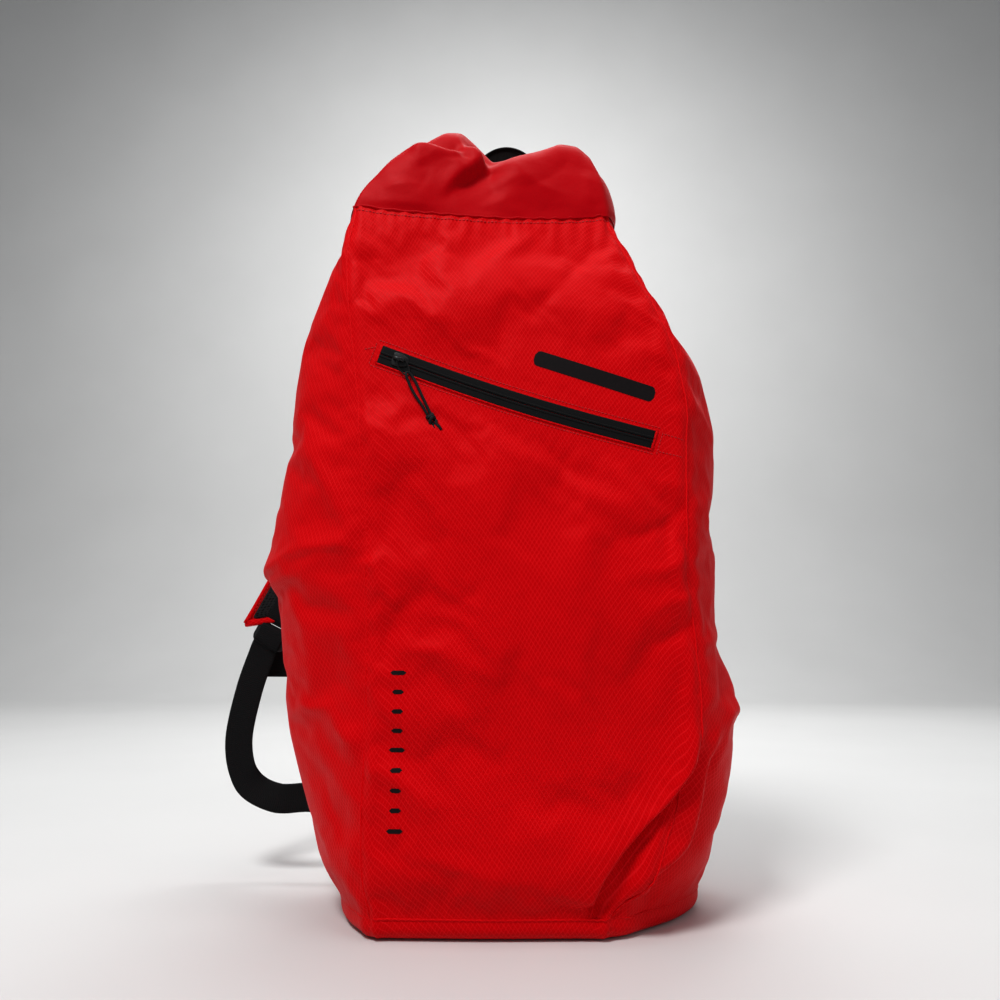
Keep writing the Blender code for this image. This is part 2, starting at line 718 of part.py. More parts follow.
def main():
    clear_scene()
    make_sack()
    make_back()
    make_pocket()
    make_zipper()
    make_roll()
    make_closure()
    make_handle()
    for side in ("left", "right"):
        path = make_strap(side)
        make_adjuster(side, path)
        make_tail(side, path)
        make_lower_webbing(side)
        make_sternum(side, path)
    make_anchors()


main()
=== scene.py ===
"""The looks of a small roll-top daypack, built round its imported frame. Metres, +Z up."""

import math

import bmesh
import bpy
import numpy as np
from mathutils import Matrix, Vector, noise
from mathutils.bvhtree import BVHTree


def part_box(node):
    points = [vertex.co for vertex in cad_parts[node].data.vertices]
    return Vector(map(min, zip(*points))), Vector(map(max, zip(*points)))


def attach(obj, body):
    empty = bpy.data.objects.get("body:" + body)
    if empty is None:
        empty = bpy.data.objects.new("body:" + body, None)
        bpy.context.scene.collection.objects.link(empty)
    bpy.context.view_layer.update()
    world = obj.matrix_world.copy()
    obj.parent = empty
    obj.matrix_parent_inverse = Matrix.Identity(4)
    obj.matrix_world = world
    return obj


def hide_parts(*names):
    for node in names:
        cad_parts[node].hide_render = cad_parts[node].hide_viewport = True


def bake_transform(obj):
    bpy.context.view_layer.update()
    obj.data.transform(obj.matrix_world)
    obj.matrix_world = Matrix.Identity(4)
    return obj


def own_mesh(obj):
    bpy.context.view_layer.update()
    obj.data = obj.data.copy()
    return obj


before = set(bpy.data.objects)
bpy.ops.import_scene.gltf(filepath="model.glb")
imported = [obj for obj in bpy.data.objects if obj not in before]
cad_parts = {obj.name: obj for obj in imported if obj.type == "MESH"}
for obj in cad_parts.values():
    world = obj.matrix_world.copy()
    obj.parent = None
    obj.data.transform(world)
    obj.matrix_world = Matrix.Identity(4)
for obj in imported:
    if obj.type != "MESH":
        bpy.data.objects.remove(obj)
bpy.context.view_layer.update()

RED = (0.60, 0.0008, 0.0030)
RED_LINE = (0.82, 0.012, 0.018)
COLLAR_RED = (0.46, 0.0010, 0.0055)
LATTICE_PITCH = 0.0032
LATTICE_LINE = 0.00042
LATTICE_LEAN = 0.62

ZIP_LEFT = Vector((-0.104, -0.070, 0.417))
ZIP_RIGHT = Vector((0.103, -0.070, 0.349))
ZIP_ALONG = (ZIP_RIGHT - ZIP_LEFT).normalized()
ZIP_UP = Vector((-ZIP_ALONG.z, 0.0, ZIP_ALONG.x))
ZIP_LENGTH = (ZIP_RIGHT - ZIP_LEFT).length
ZIP_SAG = 0.0046
ZIP_HALF = 0.0072
SLIDER_START = 0.016
COLLAR_X = -0.026
CLOSURE_Y, CLOSURE_Z = 0.0567, 0.577
STRAP_HALF = 0.028
BASE_SEAM = 0.015
FOLD_DEPTH = 1.35
PRINT_BAR = tuple((0.060 + ZIP_ALONG.x * reach, 0.399 + ZIP_ALONG.z * reach) for reach in (-0.048, 0.048))

# ---------------------------------------------------------------- materials


class Nodes:
    """A short way of writing a shader's node tree."""

    def __init__(self, name):
        self.material = bpy.data.materials.new(name)
        self.material.use_nodes = True
        self.tree = self.material.node_tree
        self.shader = self.tree.nodes["Principled BSDF"]

    def add(self, kind, **inputs):
        node = self.tree.nodes.new(kind)
        for key, value in inputs.items():
            setattr(node, key, value)
        return node

    def link(self, source, target):
        self.tree.links.new(source, target)

    def math(self, operation, first, second=None, clamp=False):
        node = self.add("ShaderNodeMath", operation=operation, use_clamp=clamp)
        for place, value in enumerate((first, second)):
            if value is None:
                continue
            if isinstance(value, (int, float)):
                node.inputs[place].default_value = value
            else:
                self.link(value, node.inputs[place])
        return node.outputs[0]

    def mix(self, share, first, second):
        node = self.add("ShaderNodeMix", data_type="RGBA")
        for place, value in ((0, share), (6, first), (7, second)):
            if isinstance(value, (int, float)):
                node.inputs[place].default_value = value
            elif isinstance(value, tuple):
                node.inputs[place].default_value = (*value, 1.0)
            else:
                self.link(value, node.inputs[place])
        return node.outputs[2]

    def uv(self):
        """UV coordinates in metres: the vector's socket, then u and v."""
        node = self.add("ShaderNodeUVMap", uv_map="cloth")
        split = self.add("ShaderNodeSeparateXYZ")
        self.link(node.outputs[0], split.inputs[0])
        return node.outputs[0], split.outputs[0], split.outputs[1]

    def lines(self, value, period, width):
        """1 on thin lines that lie a period apart, 0 between them."""
        share = self.math("FRACT", self.math("DIVIDE", value, period))
        far = self.math("ABSOLUTE", self.math("SUBTRACT", share, 0.5))
        edge = 0.5 - width / period
        return self.math("DIVIDE", self.math("SUBTRACT", far, edge), 0.5 - edge, clamp=True)

    def wave(self, value, period):
        """A smooth wave between 0 and 1."""
        turned = self.math("SINE", self.math("MULTIPLY", value, 2 * math.pi / period))
        return self.math("ADD", self.math("MULTIPLY", turned, 0.5), 0.5)

    def noise(self, scale, detail=3.0, vector=None):
        node = self.add("ShaderNodeTexNoise")
        node.inputs["Scale"].default_value = scale
        node.inputs["Detail"].default_value = detail
        if vector is None:
            coords = self.add("ShaderNodeTexCoord")
            vector = coords.outputs["Object"]
        self.link(vector, node.inputs["Vector"])
        return node.outputs[0]

    def bump(self, height, distance, strength=1.0, under=None):
        node = self.add("ShaderNodeBump")
        node.inputs["Distance"].default_value = distance
        node.inputs["Strength"].default_value = strength
        self.link(height, node.inputs["Height"])
        if under is not None:
            self.link(under, node.inputs["Normal"])
        return node.outputs[0]

    def set(self, **values):
        for key, value in values.items():
            socket = self.shader.inputs[key.replace("_", " ")]
            if isinstance(value, tuple) and len(value) == 3:
                socket.default_value = (*value, 1.0)
            elif isinstance(value, (int, float)):
                socket.default_value = value
            else:
                self.link(value, socket)
        return self.material


def shade(colour, factor):
    return tuple(c * factor for c in colour)


def ripstop(name, colour=RED):
    """Coated ripstop nylon: a fine weave under a raised diamond lattice."""
    n = Nodes(name)
    _, u, v = n.uv()
    lean = n.math("MULTIPLY", v, LATTICE_LEAN)
    first = n.lines(n.math("ADD", u, lean), LATTICE_PITCH, LATTICE_LINE)
    second = n.lines(n.math("SUBTRACT", u, lean), LATTICE_PITCH, LATTICE_LINE)
    lattice = n.math("MAXIMUM", first, second)
    patches = n.noise(22.0, 4.0)
    soft = n.mix(n.math("MULTIPLY", patches, 0.55), colour, shade(colour, 0.80))
    shown = n.mix(n.math("MULTIPLY", lattice, 0.60), soft, RED_LINE)
    weave = n.math("MULTIPLY", n.wave(u, 0.00055), n.wave(v, 0.00055))
    creases = n.noise(75.0, 4.0)
    low = n.bump(creases, 0.0012, 0.6)
    mid = n.bump(lattice, 0.00011, 0.8, low)
    normal = n.bump(weave, 0.00003, 0.35, mid)
    rough = n.math("ADD", n.math("MULTIPLY", n.noise(140.0, 2.0), 0.16), 0.40)
    return n.set(Base_Color=shown, Roughness=rough, Normal=normal, Specular_IOR_Level=0.10,
                 Specular_Tint=(1.0, 0.20, 0.22), Sheen_Weight=0.14, Sheen_Roughness=0.35,
                 Sheen_Tint=(1.0, 0.05, 0.07))


def plain_weave(name, colour):
    """Smooth close-woven nylon."""
    n = Nodes(name)
    _, u, v = n.uv()
    patches = n.noise(30.0, 3.0)
    shown = n.mix(n.math("MULTIPLY", patches, 0.5), colour, shade(colour, 0.72))
    weave = n.math("MULTIPLY", n.wave(u, 0.0007), n.wave(v, 0.0007))
    creases = n.noise(60.0, 4.0)
    low = n.bump(creases, 0.0012, 0.45)
    normal = n.bump(weave, 0.00004, 0.4, low)
    rough = n.math("ADD", n.math("MULTIPLY", n.noise(120.0, 2.0), 0.14), 0.42)
    glow = tuple(c / max(colour) * 0.9 + 0.1 for c in colour)
    return n.set(Base_Color=shown, Roughness=rough, Normal=normal, Specular_IOR_Level=0.10,
                 Specular_Tint=glow, Sheen_Weight=0.10, Sheen_Roughness=0.35, Sheen_Tint=glow)


def webbing_material(name):
    """Woven webbing: cross ribs, with a finer yarn along them."""
    n = Nodes(name)
    _, u, v = n.uv()
    skew = n.math("ADD", v, n.math("MULTIPLY", n.wave(u, 0.0030), 0.0005))
    ribs = n.wave(skew, 0.0016)
    yarns = n.wave(u, 0.0009)
    height = n.math("ADD", ribs, n.math("MULTIPLY", yarns, 0.5))
    shown = n.mix(n.math("MULTIPLY", height, 0.6), (0.0025, 0.0025, 0.0028), (0.0120, 0.0120, 0.0130))
    low = n.bump(height, 0.00022, 0.9)
    normal = n.bump(n.noise(2200.0, 2.0), 0.00008, 0.3, low)
    return n.set(Base_Color=shown, Roughness=0.70, Normal=normal, Specular_IOR_Level=0.10,
                 Sheen_Weight=0.015, Sheen_Roughness=0.4)


def mesh_cloth(name):
    """Spacer mesh: rows of small oval holes in black knit."""
    n = Nodes(name)
    vector, _, v = n.uv()
    scaled = n.add("ShaderNodeVectorMath", operation="MULTIPLY")
    scaled.inputs[1].default_value = (1.0, 1.5, 1.0)
    n.link(vector, scaled.inputs[0])
    cells = n.add("ShaderNodeTexVoronoi", feature="F1", distance="EUCLIDEAN")
    cells.inputs["Scale"].default_value = 1.0 / 0.0030
    cells.inputs["Randomness"].default_value = 0.25
    n.link(scaled.outputs[0], cells.inputs["Vector"])
    hole = n.math("DIVIDE", n.math("SUBTRACT", cells.outputs["Distance"], 0.22), 0.2, clamp=True)
    shown = n.mix(hole, (0.0022, 0.0022, 0.0024), (0.017, 0.017, 0.018))
    knit = n.wave(v, 0.0008)
    low = n.bump(hole, 0.0006, 0.9)
    normal = n.bump(knit, 0.0001, 0.4, low)
    return n.set(Base_Color=shown, Roughness=0.85, Normal=normal, Specular_IOR_Level=0.10,
                 Sheen_Weight=0.02, Sheen_Roughness=0.5)


def plastic(name, colour=(0.011, 0.011, 0.012), rough=0.42):
    """Moulded acetal with a fine spark-eroded grain."""
    n = Nodes(name)
    grain = n.noise(1500.0, 3.0)
    normal = n.bump(grain, 0.00006, 0.5)
    scuffs = n.noise(90.0, 5.0)
    shown = n.mix(n.math("MULTIPLY", scuffs, 0.5), colour, shade(colour, 1.9))
    varied = n.math("ADD", n.math("MULTIPLY", scuffs, 0.2), rough - 0.1)
    return n.set(Base_Color=shown, Roughness=varied, Normal=normal, Specular_IOR_Level=0.26)


def painted_metal(name):
    """Black paint, worn towards the metal in spots."""
    n = Nodes(name)
    worn = n.noise(260.0, 4.0)
    shown = n.mix(n.math("MULTIPLY", worn, 0.6), (0.010, 0.010, 0.011), (0.035, 0.034, 0.034))
    rough = n.math("ADD", n.math("MULTIPLY", worn, 0.25), 0.22)
    normal = n.bump(n.noise(1400.0, 2.0), 0.00004, 0.4)
    return n.set(Base_Color=shown, Roughness=rough, Normal=normal, Metallic=0.55)


def tape_material(name):
    """Zipper tape: a tight twill with a dull coated face."""
    n = Nodes(name)
    _, u, v = n.uv()
    twill = n.wave(n.math("ADD", u, v), 0.0009)
    shown = n.mix(twill, (0.0030, 0.0030, 0.0034), (0.0075, 0.0075, 0.0080))
    normal = n.bump(twill, 0.00010, 0.6)
    return n.set(Base_Color=shown, Roughness=0.66, Normal=normal, Specular_IOR_Level=0.12)


def cord_material(name):
    """Braided cord."""
    n = Nodes(name)
    _, u, v = n.uv()
    first = n.wave(n.math("ADD", u, n.math("MULTIPLY", v, 0.6)), 0.0011)
    second = n.wave(n.math("SUBTRACT", u, n.math("MULTIPLY", v, 0.6)), 0.0011)
    braid = n.math("MAXIMUM", first, second)
    shown = n.mix(braid, (0.004, 0.004, 0.0045), (0.020, 0.020, 0.022))
    normal = n.bump(braid, 0.00025, 0.8)
    return n.set(Base_Color=shown, Roughness=0.6, Normal=normal, Specular_IOR_Level=0.15)


def thread(name, colour):
    """Twisted sewing thread."""
    n = Nodes(name)
    twist = n.noise(3000.0, 2.0)
    shown = n.mix(twist, colour, shade(colour, 0.6))
    return n.set(Base_Color=shown, Roughness=0.55, Normal=n.bump(twist, 0.00008, 0.5))


def print_ink(name):
    """Matt ink, with the cloth's lattice showing through it."""
    n = Nodes(name)
    _, u, v = n.uv()
    worn = n.noise(160.0, 5.0)
    shown = n.mix(n.math("MULTIPLY", worn, 0.5), (0.0060, 0.0050, 0.0055), (0.016, 0.008, 0.009))
    first = n.lines(n.math("ADD", u, n.math("MULTIPLY", v, LATTICE_LEAN)), 0.0028, 0.0003)
    normal = n.bump(first, 0.00006, 0.6)
    return n.set(Base_Color=shown, Roughness=0.60, Normal=normal, Specular_IOR_Level=0.12)


M = {
    "ripstop": ripstop("ripstop_cloth"),
    "pocket": ripstop("pocket_cloth", shade(RED, 1.06)),
    "collar": plain_weave("collar_cloth", COLLAR_RED),
    "strap": ripstop("strap_cloth", shade(RED, 0.9)),
    "webbing": webbing_material("webbing"),
    "mesh": mesh_cloth("spacer_mesh"),
    "lining": plain_weave("lining_cloth", (0.014, 0.014, 0.015)),
    "plastic": plastic("buckle_plastic"),
    "sheet": plastic("sheet_plastic", (0.30, 0.30, 0.31), 0.5),
    "metal": painted_metal("slider_metal"),
    "tape": tape_material("zipper_tape"),
    "coil": plastic("zipper_coil", (0.008, 0.008, 0.009), 0.38),
    "cord": cord_material("cord"),
    "thread": thread("red_thread", (0.62, 0.012, 0.018)),
    "black_thread": thread("black_thread", (0.02, 0.02, 0.022)),
    "ink": print_ink("matte_print"),
}

# ---------------------------------------------------------------- mesh helpers


def smoothstep(low, high, value):
    t = np.clip((np.asarray(value, float) - low) / (high - low), 0.0, 1.0)
    return t * t * (3.0 - 2.0 * t)


def lagrange(t, a, b, c):
    """The parabola through a, b and c at 0, a half and 1."""
    return 2 * (t - 0.5) * (t - 1) * a + 4 * t * (1 - t) * b + 2 * t * (t - 0.5) * c


def add_object(name, data):
    thing = bpy.data.objects.new(name, data)
    bpy.context.scene.collection.objects.link(thing)
    return thing


def make_object(name, verts, faces, uvs, material, subdivide=0):
    """A mesh from vertices and faces, with one UV pair for each face corner."""
    mesh = bpy.data.meshes.new(name)
    mesh.from_pydata([tuple(v) for v in verts], [], [tuple(f) for f in faces])
    layer = mesh.uv_layers.new(name="cloth")
    layer.data.foreach_set("uv", np.asarray(uvs, np.float32).ravel())
    mesh.polygons.foreach_set("use_smooth", [True] * len(mesh.polygons))
    mesh.materials.append(material)
    thing = add_object(name, mesh)
    if subdivide:
        modifier = thing.modifiers.new("finer", "SUBSURF")
        modifier.levels = subdivide
        modifier.render_levels = subdivide
    return thing


def grid_faces(rows, columns, closed=False):
    faces = []
    for r in range(rows - 1):
        for c in range(columns if closed else columns - 1):
            d = (c + 1) % columns
            faces.append((r * columns + c, r * columns + d,
                          (r + 1) * columns + d, (r + 1) * columns + c))
    return faces


def grid_uvs(across, up):
    """UVs of a grid's faces: across is given at each column line, up at each row."""
    return [pair for low, high in zip(up, up[1:]) for a, b in zip(across, across[1:])
            for pair in ((a, low), (b, low), (b, high), (a, high))]


def flat_uvs(verts, faces):
    """UVs of faces laid flat in the XZ plane."""
    return [(verts[i][0], verts[i][2]) for face in faces for i in face]


def cap_faces(rows, count):
    """The two end faces of a closed tube of rows of count vertices."""
    return [tuple(reversed(range(count))), tuple((rows - 1) * count + c for c in range(count))]


def thicken(thing, name, thickness, offset):
    modifier = thing.modifiers.new(name, "SOLIDIFY")
    modifier.thickness = thickness
    modifier.offset = offset


def smooth_path(points, steps):
    """Points along a Catmull-Rom curve through the given points."""
    points = [Vector(p) for p in points]
    ends = [2 * points[0] - points[1], *points, 2 * points[-1] - points[-2]]
    path = []
    for i in range(len(points) - 1):
        a, b, c, d = ends[i:i + 4]
        for k in range(steps):
            t = k / steps
            path.append(0.5 * (2 * b + (c - a) * t + (2 * a - 5 * b + 4 * c - d) * t * t
                               + (3 * b - a - 3 * c + d) * t ** 3))
    path.append(points[-1])
    return path


def directions(path):
    last = len(path) - 1
    return [(path[min(i + 1, last)] - path[max(i - 1, 0)]).normalized() for i in range(last + 1)]


def distances(path):
    """How far along the path each of its points lies."""
    marks = [0.0]
    for a, b in zip(path, path[1:]):
        marks.append(marks[-1] + (b - a).length)
    return marks


def sweep(name, path, section, across, material, closed_path=False, lift=0.0):
    """Sweep a closed section of (across, out) pairs along a path.

    across is one rough direction of the section's width, or one for each point.
    """
    verts = []
    rows_v = distances(path)
    along = directions(path)
    for i, point in enumerate(path):
        rough = Vector(across[i]) if isinstance(across, list) else Vector(across)
        side = (rough - along[i] * along[i].dot(rough)).normalized()
        normal = along[i].cross(side)
        for a, b in section:
            verts.append(point + side * a + normal * (b + lift))
    count = len(section)
    around = [0.0]
    for i in range(count):
        a, b = Vector(section[i]), Vector(section[(i + 1) % count])
        around.append(around[-1] + (b - a).length)
    faces, uvs = [], []
    rows = len(path)
    for r in range(rows if closed_path else rows - 1):
        s = (r + 1) % rows
        high = rows_v[s] if s else rows_v[-1] + (path[0] - path[-1]).length
        for c in range(count):
            d = (c + 1) % count
            faces.append((r * count + c, r * count + d, s * count + d, s * count + c))
            uvs += [(around[c], rows_v[r]), (around[c + 1], rows_v[r]),
                    (around[c + 1], high), (around[c], high)]
    if not closed_path:
        faces += cap_faces(rows, count)
        uvs += [*reversed(section), *section]
    thing = make_object(name, verts, faces, uvs, material)
    tidy_normals(thing)
    return thing


def tidy_normals(thing):
    bm = bmesh.new()
    bm.from_mesh(thing.data)
    bmesh.ops.recalc_face_normals(bm, faces=bm.faces)
    bm.to_mesh(thing.data)
    bm.free()


def round_section(half_width, half_thick, corner=None, steps=4):
    """A rounded rectangle as (across, out) pairs."""
    corner = min(half_width, half_thick) if corner is None else corner
    points = []
    for sx, sy, start in ((1, 1, 0), (-1, 1, 90), (-1, -1, 180), (1, -1, 270)):
        for k in range(steps + 1):
            angle = math.radians(start + 90 * k / steps)
            points.append((sx * (half_width - corner) + corner * math.cos(angle),
                           sy * (half_thick - corner) + corner * math.sin(angle)))
    return points


def webbing_section(half_width, half_thick, columns=14):
    """A flat band with rounded selvedges, in the given number of columns."""
    top = []
    for k in range(columns + 1):
        a = half_width * math.cos(math.pi * k / columns)
        top.append((a, half_thick * math.sqrt(max(0.0, 1 - (a / half_width) ** 8))))
    return top + [(a, -b) for a, b in reversed(top[1:-1])]


def tube(name, path, radius, material, sides=8, closed_path=False):
    section = [(radius * math.cos(2 * math.pi * k / sides), radius * math.sin(2 * math.pi * k / sides))
               for k in range(sides)]
    along = directions(path)
    rough = Vector((0.13, 1.0, 0.21))
    across = []
    for d in along:
        side = rough - d * d.dot(rough)
        rough = side.normalized()
        across.append(rough.copy())
    return sweep(name, path, section, across, material, closed_path)


def ride(thing, body, stands_for=()):
    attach(thing, body)
    if stands_for:
        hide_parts(*stands_for)
    return thing


def ribbon(name, path, half_width, half_thick, across, body, stands_for=(), lift=0.0):
    """A length of webbing that rides a body."""
    section = webbing_section(half_width, half_thick)
    return ride(sweep(name, path, section, across, M["webbing"], lift=lift), body,
                stands_for)


# ---------------------------------------------------------------- the sack's shape

# In millimetres: height, then the x of the front corner, the side's fold and the back corner on
# the left, the same on the right, then the y of the front and back planes
SECTIONS = np.array((
    (0, -98, -122, -112, 50, 132, 112, -67, 66),
    (40, -107, -147, -122, 87, 149, 124, -70, 72),
    (85, -109, -162, -128, 114, 162, 132, -70, 75),
    (130, -108, -176, -133, 128, 171, 137, -70, 76),
    (160, -108, -182, -136, 131, 173, 137, -70, 76),
    (215, -109, -192, -141, 128, 160, 134, -70, 76),
    (256, -110, -203, -144, 125, 160, 132, -70, 76),
    (320, -114, -196, -142, 128, 163, 132, -70, 74),
    (370, -119, -189, -141, 131, 163, 131, -70, 70),
    (420, -126, -180, -142, 124, 148, 122, -70, 62),
    (460, -131, -171, -141, 111, 127, 108, -70, 52),
    (500, -135, -156, -136, 94, 105, 92, -68, 34),
    (540, -129, -138, -127, 77, 86, 76, -64, 10),
    (580, -124, -130, -120, 70, 78, 70, -62, 2),
)) / 1000
FINE_Z = np.linspace(0.0, 0.58, 291)


def fine_tables():
    """The sections' columns at fine heights, smoothed along the height."""
    tables = []
    offsets = np.arange(-8, 9)
    for column in range(1, SECTIONS.shape[1]):
        values = np.interp(FINE_Z, SECTIONS[:, 0], SECTIONS[:, column])
        width = 2.2 if column == 2 else 4.0
        kernel = np.exp(-(offsets / width) ** 2)
        kernel /= kernel.sum()
        padded = np.concatenate([np.repeat(values[0], 8), values, np.repeat(values[-1], 8)])
        tables.append(np.convolve(padded, kernel, "valid"))
    return tables


TABLES = fine_tables()


def measures(z):
    """The sections' columns at the heights z."""
    return [np.interp(z, FINE_Z, t) for t in TABLES]


def seam_height(x):
    """Height of the collar seam, which sags in its middle."""
    return 0.538 + 0.008 * ((x - COLLAR_X) / 0.1) ** 2


FRONT, RIGHT, BACK, LEFT = 0, 1, 2, 3
COLUMNS = ((FRONT, 66), (RIGHT, 44), (BACK, 46), (LEFT, 44))


def wall_point(panel, t, z):
    """A point of a wall, before any folds. t runs clockwise seen from above: left to right on
    the front, front to back on the right, and so on."""
    fl, sl, bl, fr, sr, br, yf, yb = measures(z)
    turn = 0.014 * smoothstep(0.40, 0.55, z)
    y_fl, y_fr = yf - 0.1 * turn, yf + turn
    if panel == FRONT:
        x = fl + (fr - fl) * t
        swell = 0.0035 * np.sin(np.pi * t) ** 0.8 * smoothstep(0.0, 0.05, z)
        return x, y_fl + (y_fr - y_fl) * t - swell
    if panel == RIGHT:
        return lagrange(t, fr, sr, br), y_fr + (yb - y_fr) * t
    if panel == BACK:
        x = br + (bl - br) * t
        return x, yb + 0.003 * np.sin(np.pi * t) ** 0.7
    back_to_front = 1 - t
    return lagrange(back_to_front, fl, sl, bl), y_fl + (yb - y_fl) * back_to_front


def metres(values):
    """Millimetres as metres, through nested tuples."""
    return tuple(metres(v) if isinstance(v, tuple) else v / 1000 for v in values)


def path_distance(x, z, path):
    """Signed distance from a polyline in the XZ plane, how far along it, 0 to 1, and the way
    to its right there. The distance is positive on the left of the direction of travel."""
    best = np.full(x.shape, 1e9)
    signed = np.zeros(x.shape)
    share = np.zeros(x.shape)
    right_x, right_z = np.zeros(x.shape), np.zeros(x.shape)
    pieces = len(path) - 1
    for i in range(pieces):
        (ax, az), (bx, bz) = path[i], path[i + 1]
        dx, dz = bx - ax, bz - az
        length = math.hypot(dx, dz)
        t = np.clip(((x - ax) * dx + (z - az) * dz) / length ** 2, 0, 1)
        away = np.hypot(x - ax - t * dx, z - az - t * dz)
        cross = dx * (z - az) - dz * (x - ax)
        nearer = away < best
        best = np.where(nearer, away, best)
        signed = np.where(nearer, np.sign(cross) * away, signed)
        share = np.where(nearer, (i + t) / pieces, share)
        right_x = np.where(nearer, dz / length, right_x)
        right_z = np.where(nearer, -dx / length, right_z)
    return signed, best, share, (right_x, right_z)


def smooth_flat_path(points, steps=6):
    return [(p.x, p.z) for p in smooth_path([(x, 0.0, z) for x, z in metres(points)], steps)]


def taper(share, start=0.25, end=0.25):
    """1 along the middle of a fold, falling to 0 at its ends."""
    return smoothstep(0.0, start, share) * smoothstep(0.0, end, 1 - share)


def ridge(x, z, points, height, width, ends):
    """A crease: a narrow crest between two flat slopes."""
    height, width = metres((height, width))
    _, away, share, _ = path_distance(x, z, smooth_flat_path(points))
    slopes = np.clip(1 - away / (3.5 * width), 0, 1)
    return height * (0.6 * slopes + 0.4 * np.exp(-away / width)) * taper(share, *ends)


def step(x, z, points, height, sharp, reach, ends):
    """An overlapping fold: forward on the left of its line, back on the right of it. Also gives
    how far the two sides slide over each other, along x and z."""
    height, sharp, reach = metres((height, sharp, reach))
    signed, away, share, (right_x, right_z) = path_distance(x, z, smooth_flat_path(points))
    beyond = np.where(away > np.abs(signed) + 1e-6, np.exp(-(away / reach) ** 2), 1.0)
    side = np.tanh(signed / sharp) * beyond * taper(share, *ends)
    slide = 0.8 * height * side * np.exp(-(signed / (0.6 * reach)) ** 2)
    return height * side * np.exp(-(signed / reach) ** 2), right_x * slide, right_z * slide


# Folds seen from the front, in millimetres. Each is a line of (x, z) points, a height, a width or
# a sharpness with its reach, and then what share of its length fades at each end
FRONT_RIDGES = (
    (((-104, 500), (-70, 470), (-45, 440), (-30, 415)), 2.2, 10, (0.3, 0.5)),
    (((70, 520), (40, 480), (15, 450)), -2.5, 14, (0.4, 0.5)),
    (((-117, 378), (-107, 351), (-98, 321), (-87, 290), (-82, 264), (-75, 243), (-70, 229)), 3, 6,
     (0.15, 0.25)),
    (((-110, 262), (-99, 242), (-90, 229), (-82, 222)), 3.4, 4.5, (0.1, 0.3)),
    (((-106, 218), (-99, 197), (-92, 205), (-91, 216)), -2.2, 4.5, (0.2, 0.3)),
    (((-29, 174), (-48, 190), (-62, 194), (-89, 195)), 2.6, 5, (0.4, 0.3)),
    (((-68, 186), (-60, 178), (-47, 166), (-30, 150)), -2.4, 5.5, (0.3, 0.4)),
    (((-106, 111), (-90, 109), (-73, 100), (-60, 90), (-46, 83)), 3, 5, (0.05, 0.4)),
    (((128, 300), (100, 280), (60, 268)), -2.6, 7.5, (0.10, 0.6)),
    (((128, 262), (104, 250), (72, 244)), 3, 6, (0.10, 0.6)),
    (((130, 232), (106, 226), (80, 214)), 3, 5.5, (0.10, 0.6)),
    (((130, 214), (106, 200), (76, 190)), -2.2, 6, (0.10, 0.6)),
    (((50, 350), (48, 260), (20, 190)), 2.2, 18, (0.4, 0.5)),
    (((-85, 60), (-30, 48), (30, 36)), 2, 9, (0.4, 0.4)),
    (((20, 170), (45, 120), (40, 70)), -2.4, 14, (0.4, 0.5)),
)
FRONT_STEPS = (
    (((46, 18), (50, 29), (56, 44), (68, 60), (86, 78), (101, 90), (113, 104), (123, 117), (130, 137),
     (134, 165)), 6.2, 2, 20, (0.10, 0.28)),
    (((74, 24), (87, 32), (93, 43), (104, 52), (117, 63), (125, 80), (132, 99), (138, 116), (145, 136),
     (148, 165)), 5, 2, 14, (0.12, 0.30)),
)
SIDE_RIDGES = (
    (((-206, 252), (-178, 264), (-150, 270), (-112, 270)), 4.6, 5.5, (0.02, 0.12)),
    (((-198, 244), (-176, 247), (-156, 255), (-138, 264)), 2.6, 4.5, (0.1, 0.3)),
    (((-166, 365), (-148, 330), (-130, 298), (-112, 273)), 3.2, 5.5, (0.3, 0.1)),
    (((-180, 240), (-160, 215), (-152, 180), (-150, 152)), 3, 7, (0.2, 0.3)),
    (((-168, 157), (-150, 152), (-134, 153), (-126, 138), (-117, 131), (-108, 131)), 3.4, 4.8,
     (0.15, 0.1)),
    (((-150, 120), (-135, 85), (-118, 55)), -2.6, 6, (0.3, 0.3)),
    (((-150, 470), (-160, 420), (-165, 370)), 2.2, 9, (0.3, 0.3)),
    (((140, 330), (150, 270), (146, 210)), 2.6, 7, (0.3, 0.3)),
    (((170, 150), (156, 146), (149, 128), (143, 108), (139, 92)), 4.6, 4.5, (0.05, 0.3)),
    (((148, 205), (152, 180), (148, 150)), -2.4, 6, (0.3, 0.3)),
    (((140, 450), (146, 400), (140, 350)), 2.2, 8, (0.3, 0.3)),
)


def zip_line(x):
    """Height of the zipper's middle above an x."""
    share = np.clip((x - ZIP_LEFT.x) / (ZIP_RIGHT.x - ZIP_LEFT.x), 0, 1)
    straight = ZIP_LEFT.z + (x - ZIP_LEFT.x) * ZIP_ALONG.z / ZIP_ALONG.x
    return straight - ZIP_SAG * np.sin(np.pi * share)


def zip_quiet(x, z):
    """0 at the zipper and the printed bar, where the cloth lies flat, and 1 away from them."""
    _, from_bar, _, _ = path_distance(x, z, PRINT_BAR)
    return smoothstep(0.007, 0.030, np.abs(z - zip_line(x)) * ZIP_ALONG.x) * smoothstep(
        0.006, 0.024, from_bar)


def grid_normals(points):
    """Outward normals of a closed grid of points, rows by columns by three."""
    around = np.roll(points, -1, 1) - np.roll(points, 1, 1)
    up = np.gradient(points, axis=0)
    normal = np.cross(around, up)
    return normal / np.maximum(np.linalg.norm(normal, axis=2, keepdims=True), 1e-12)


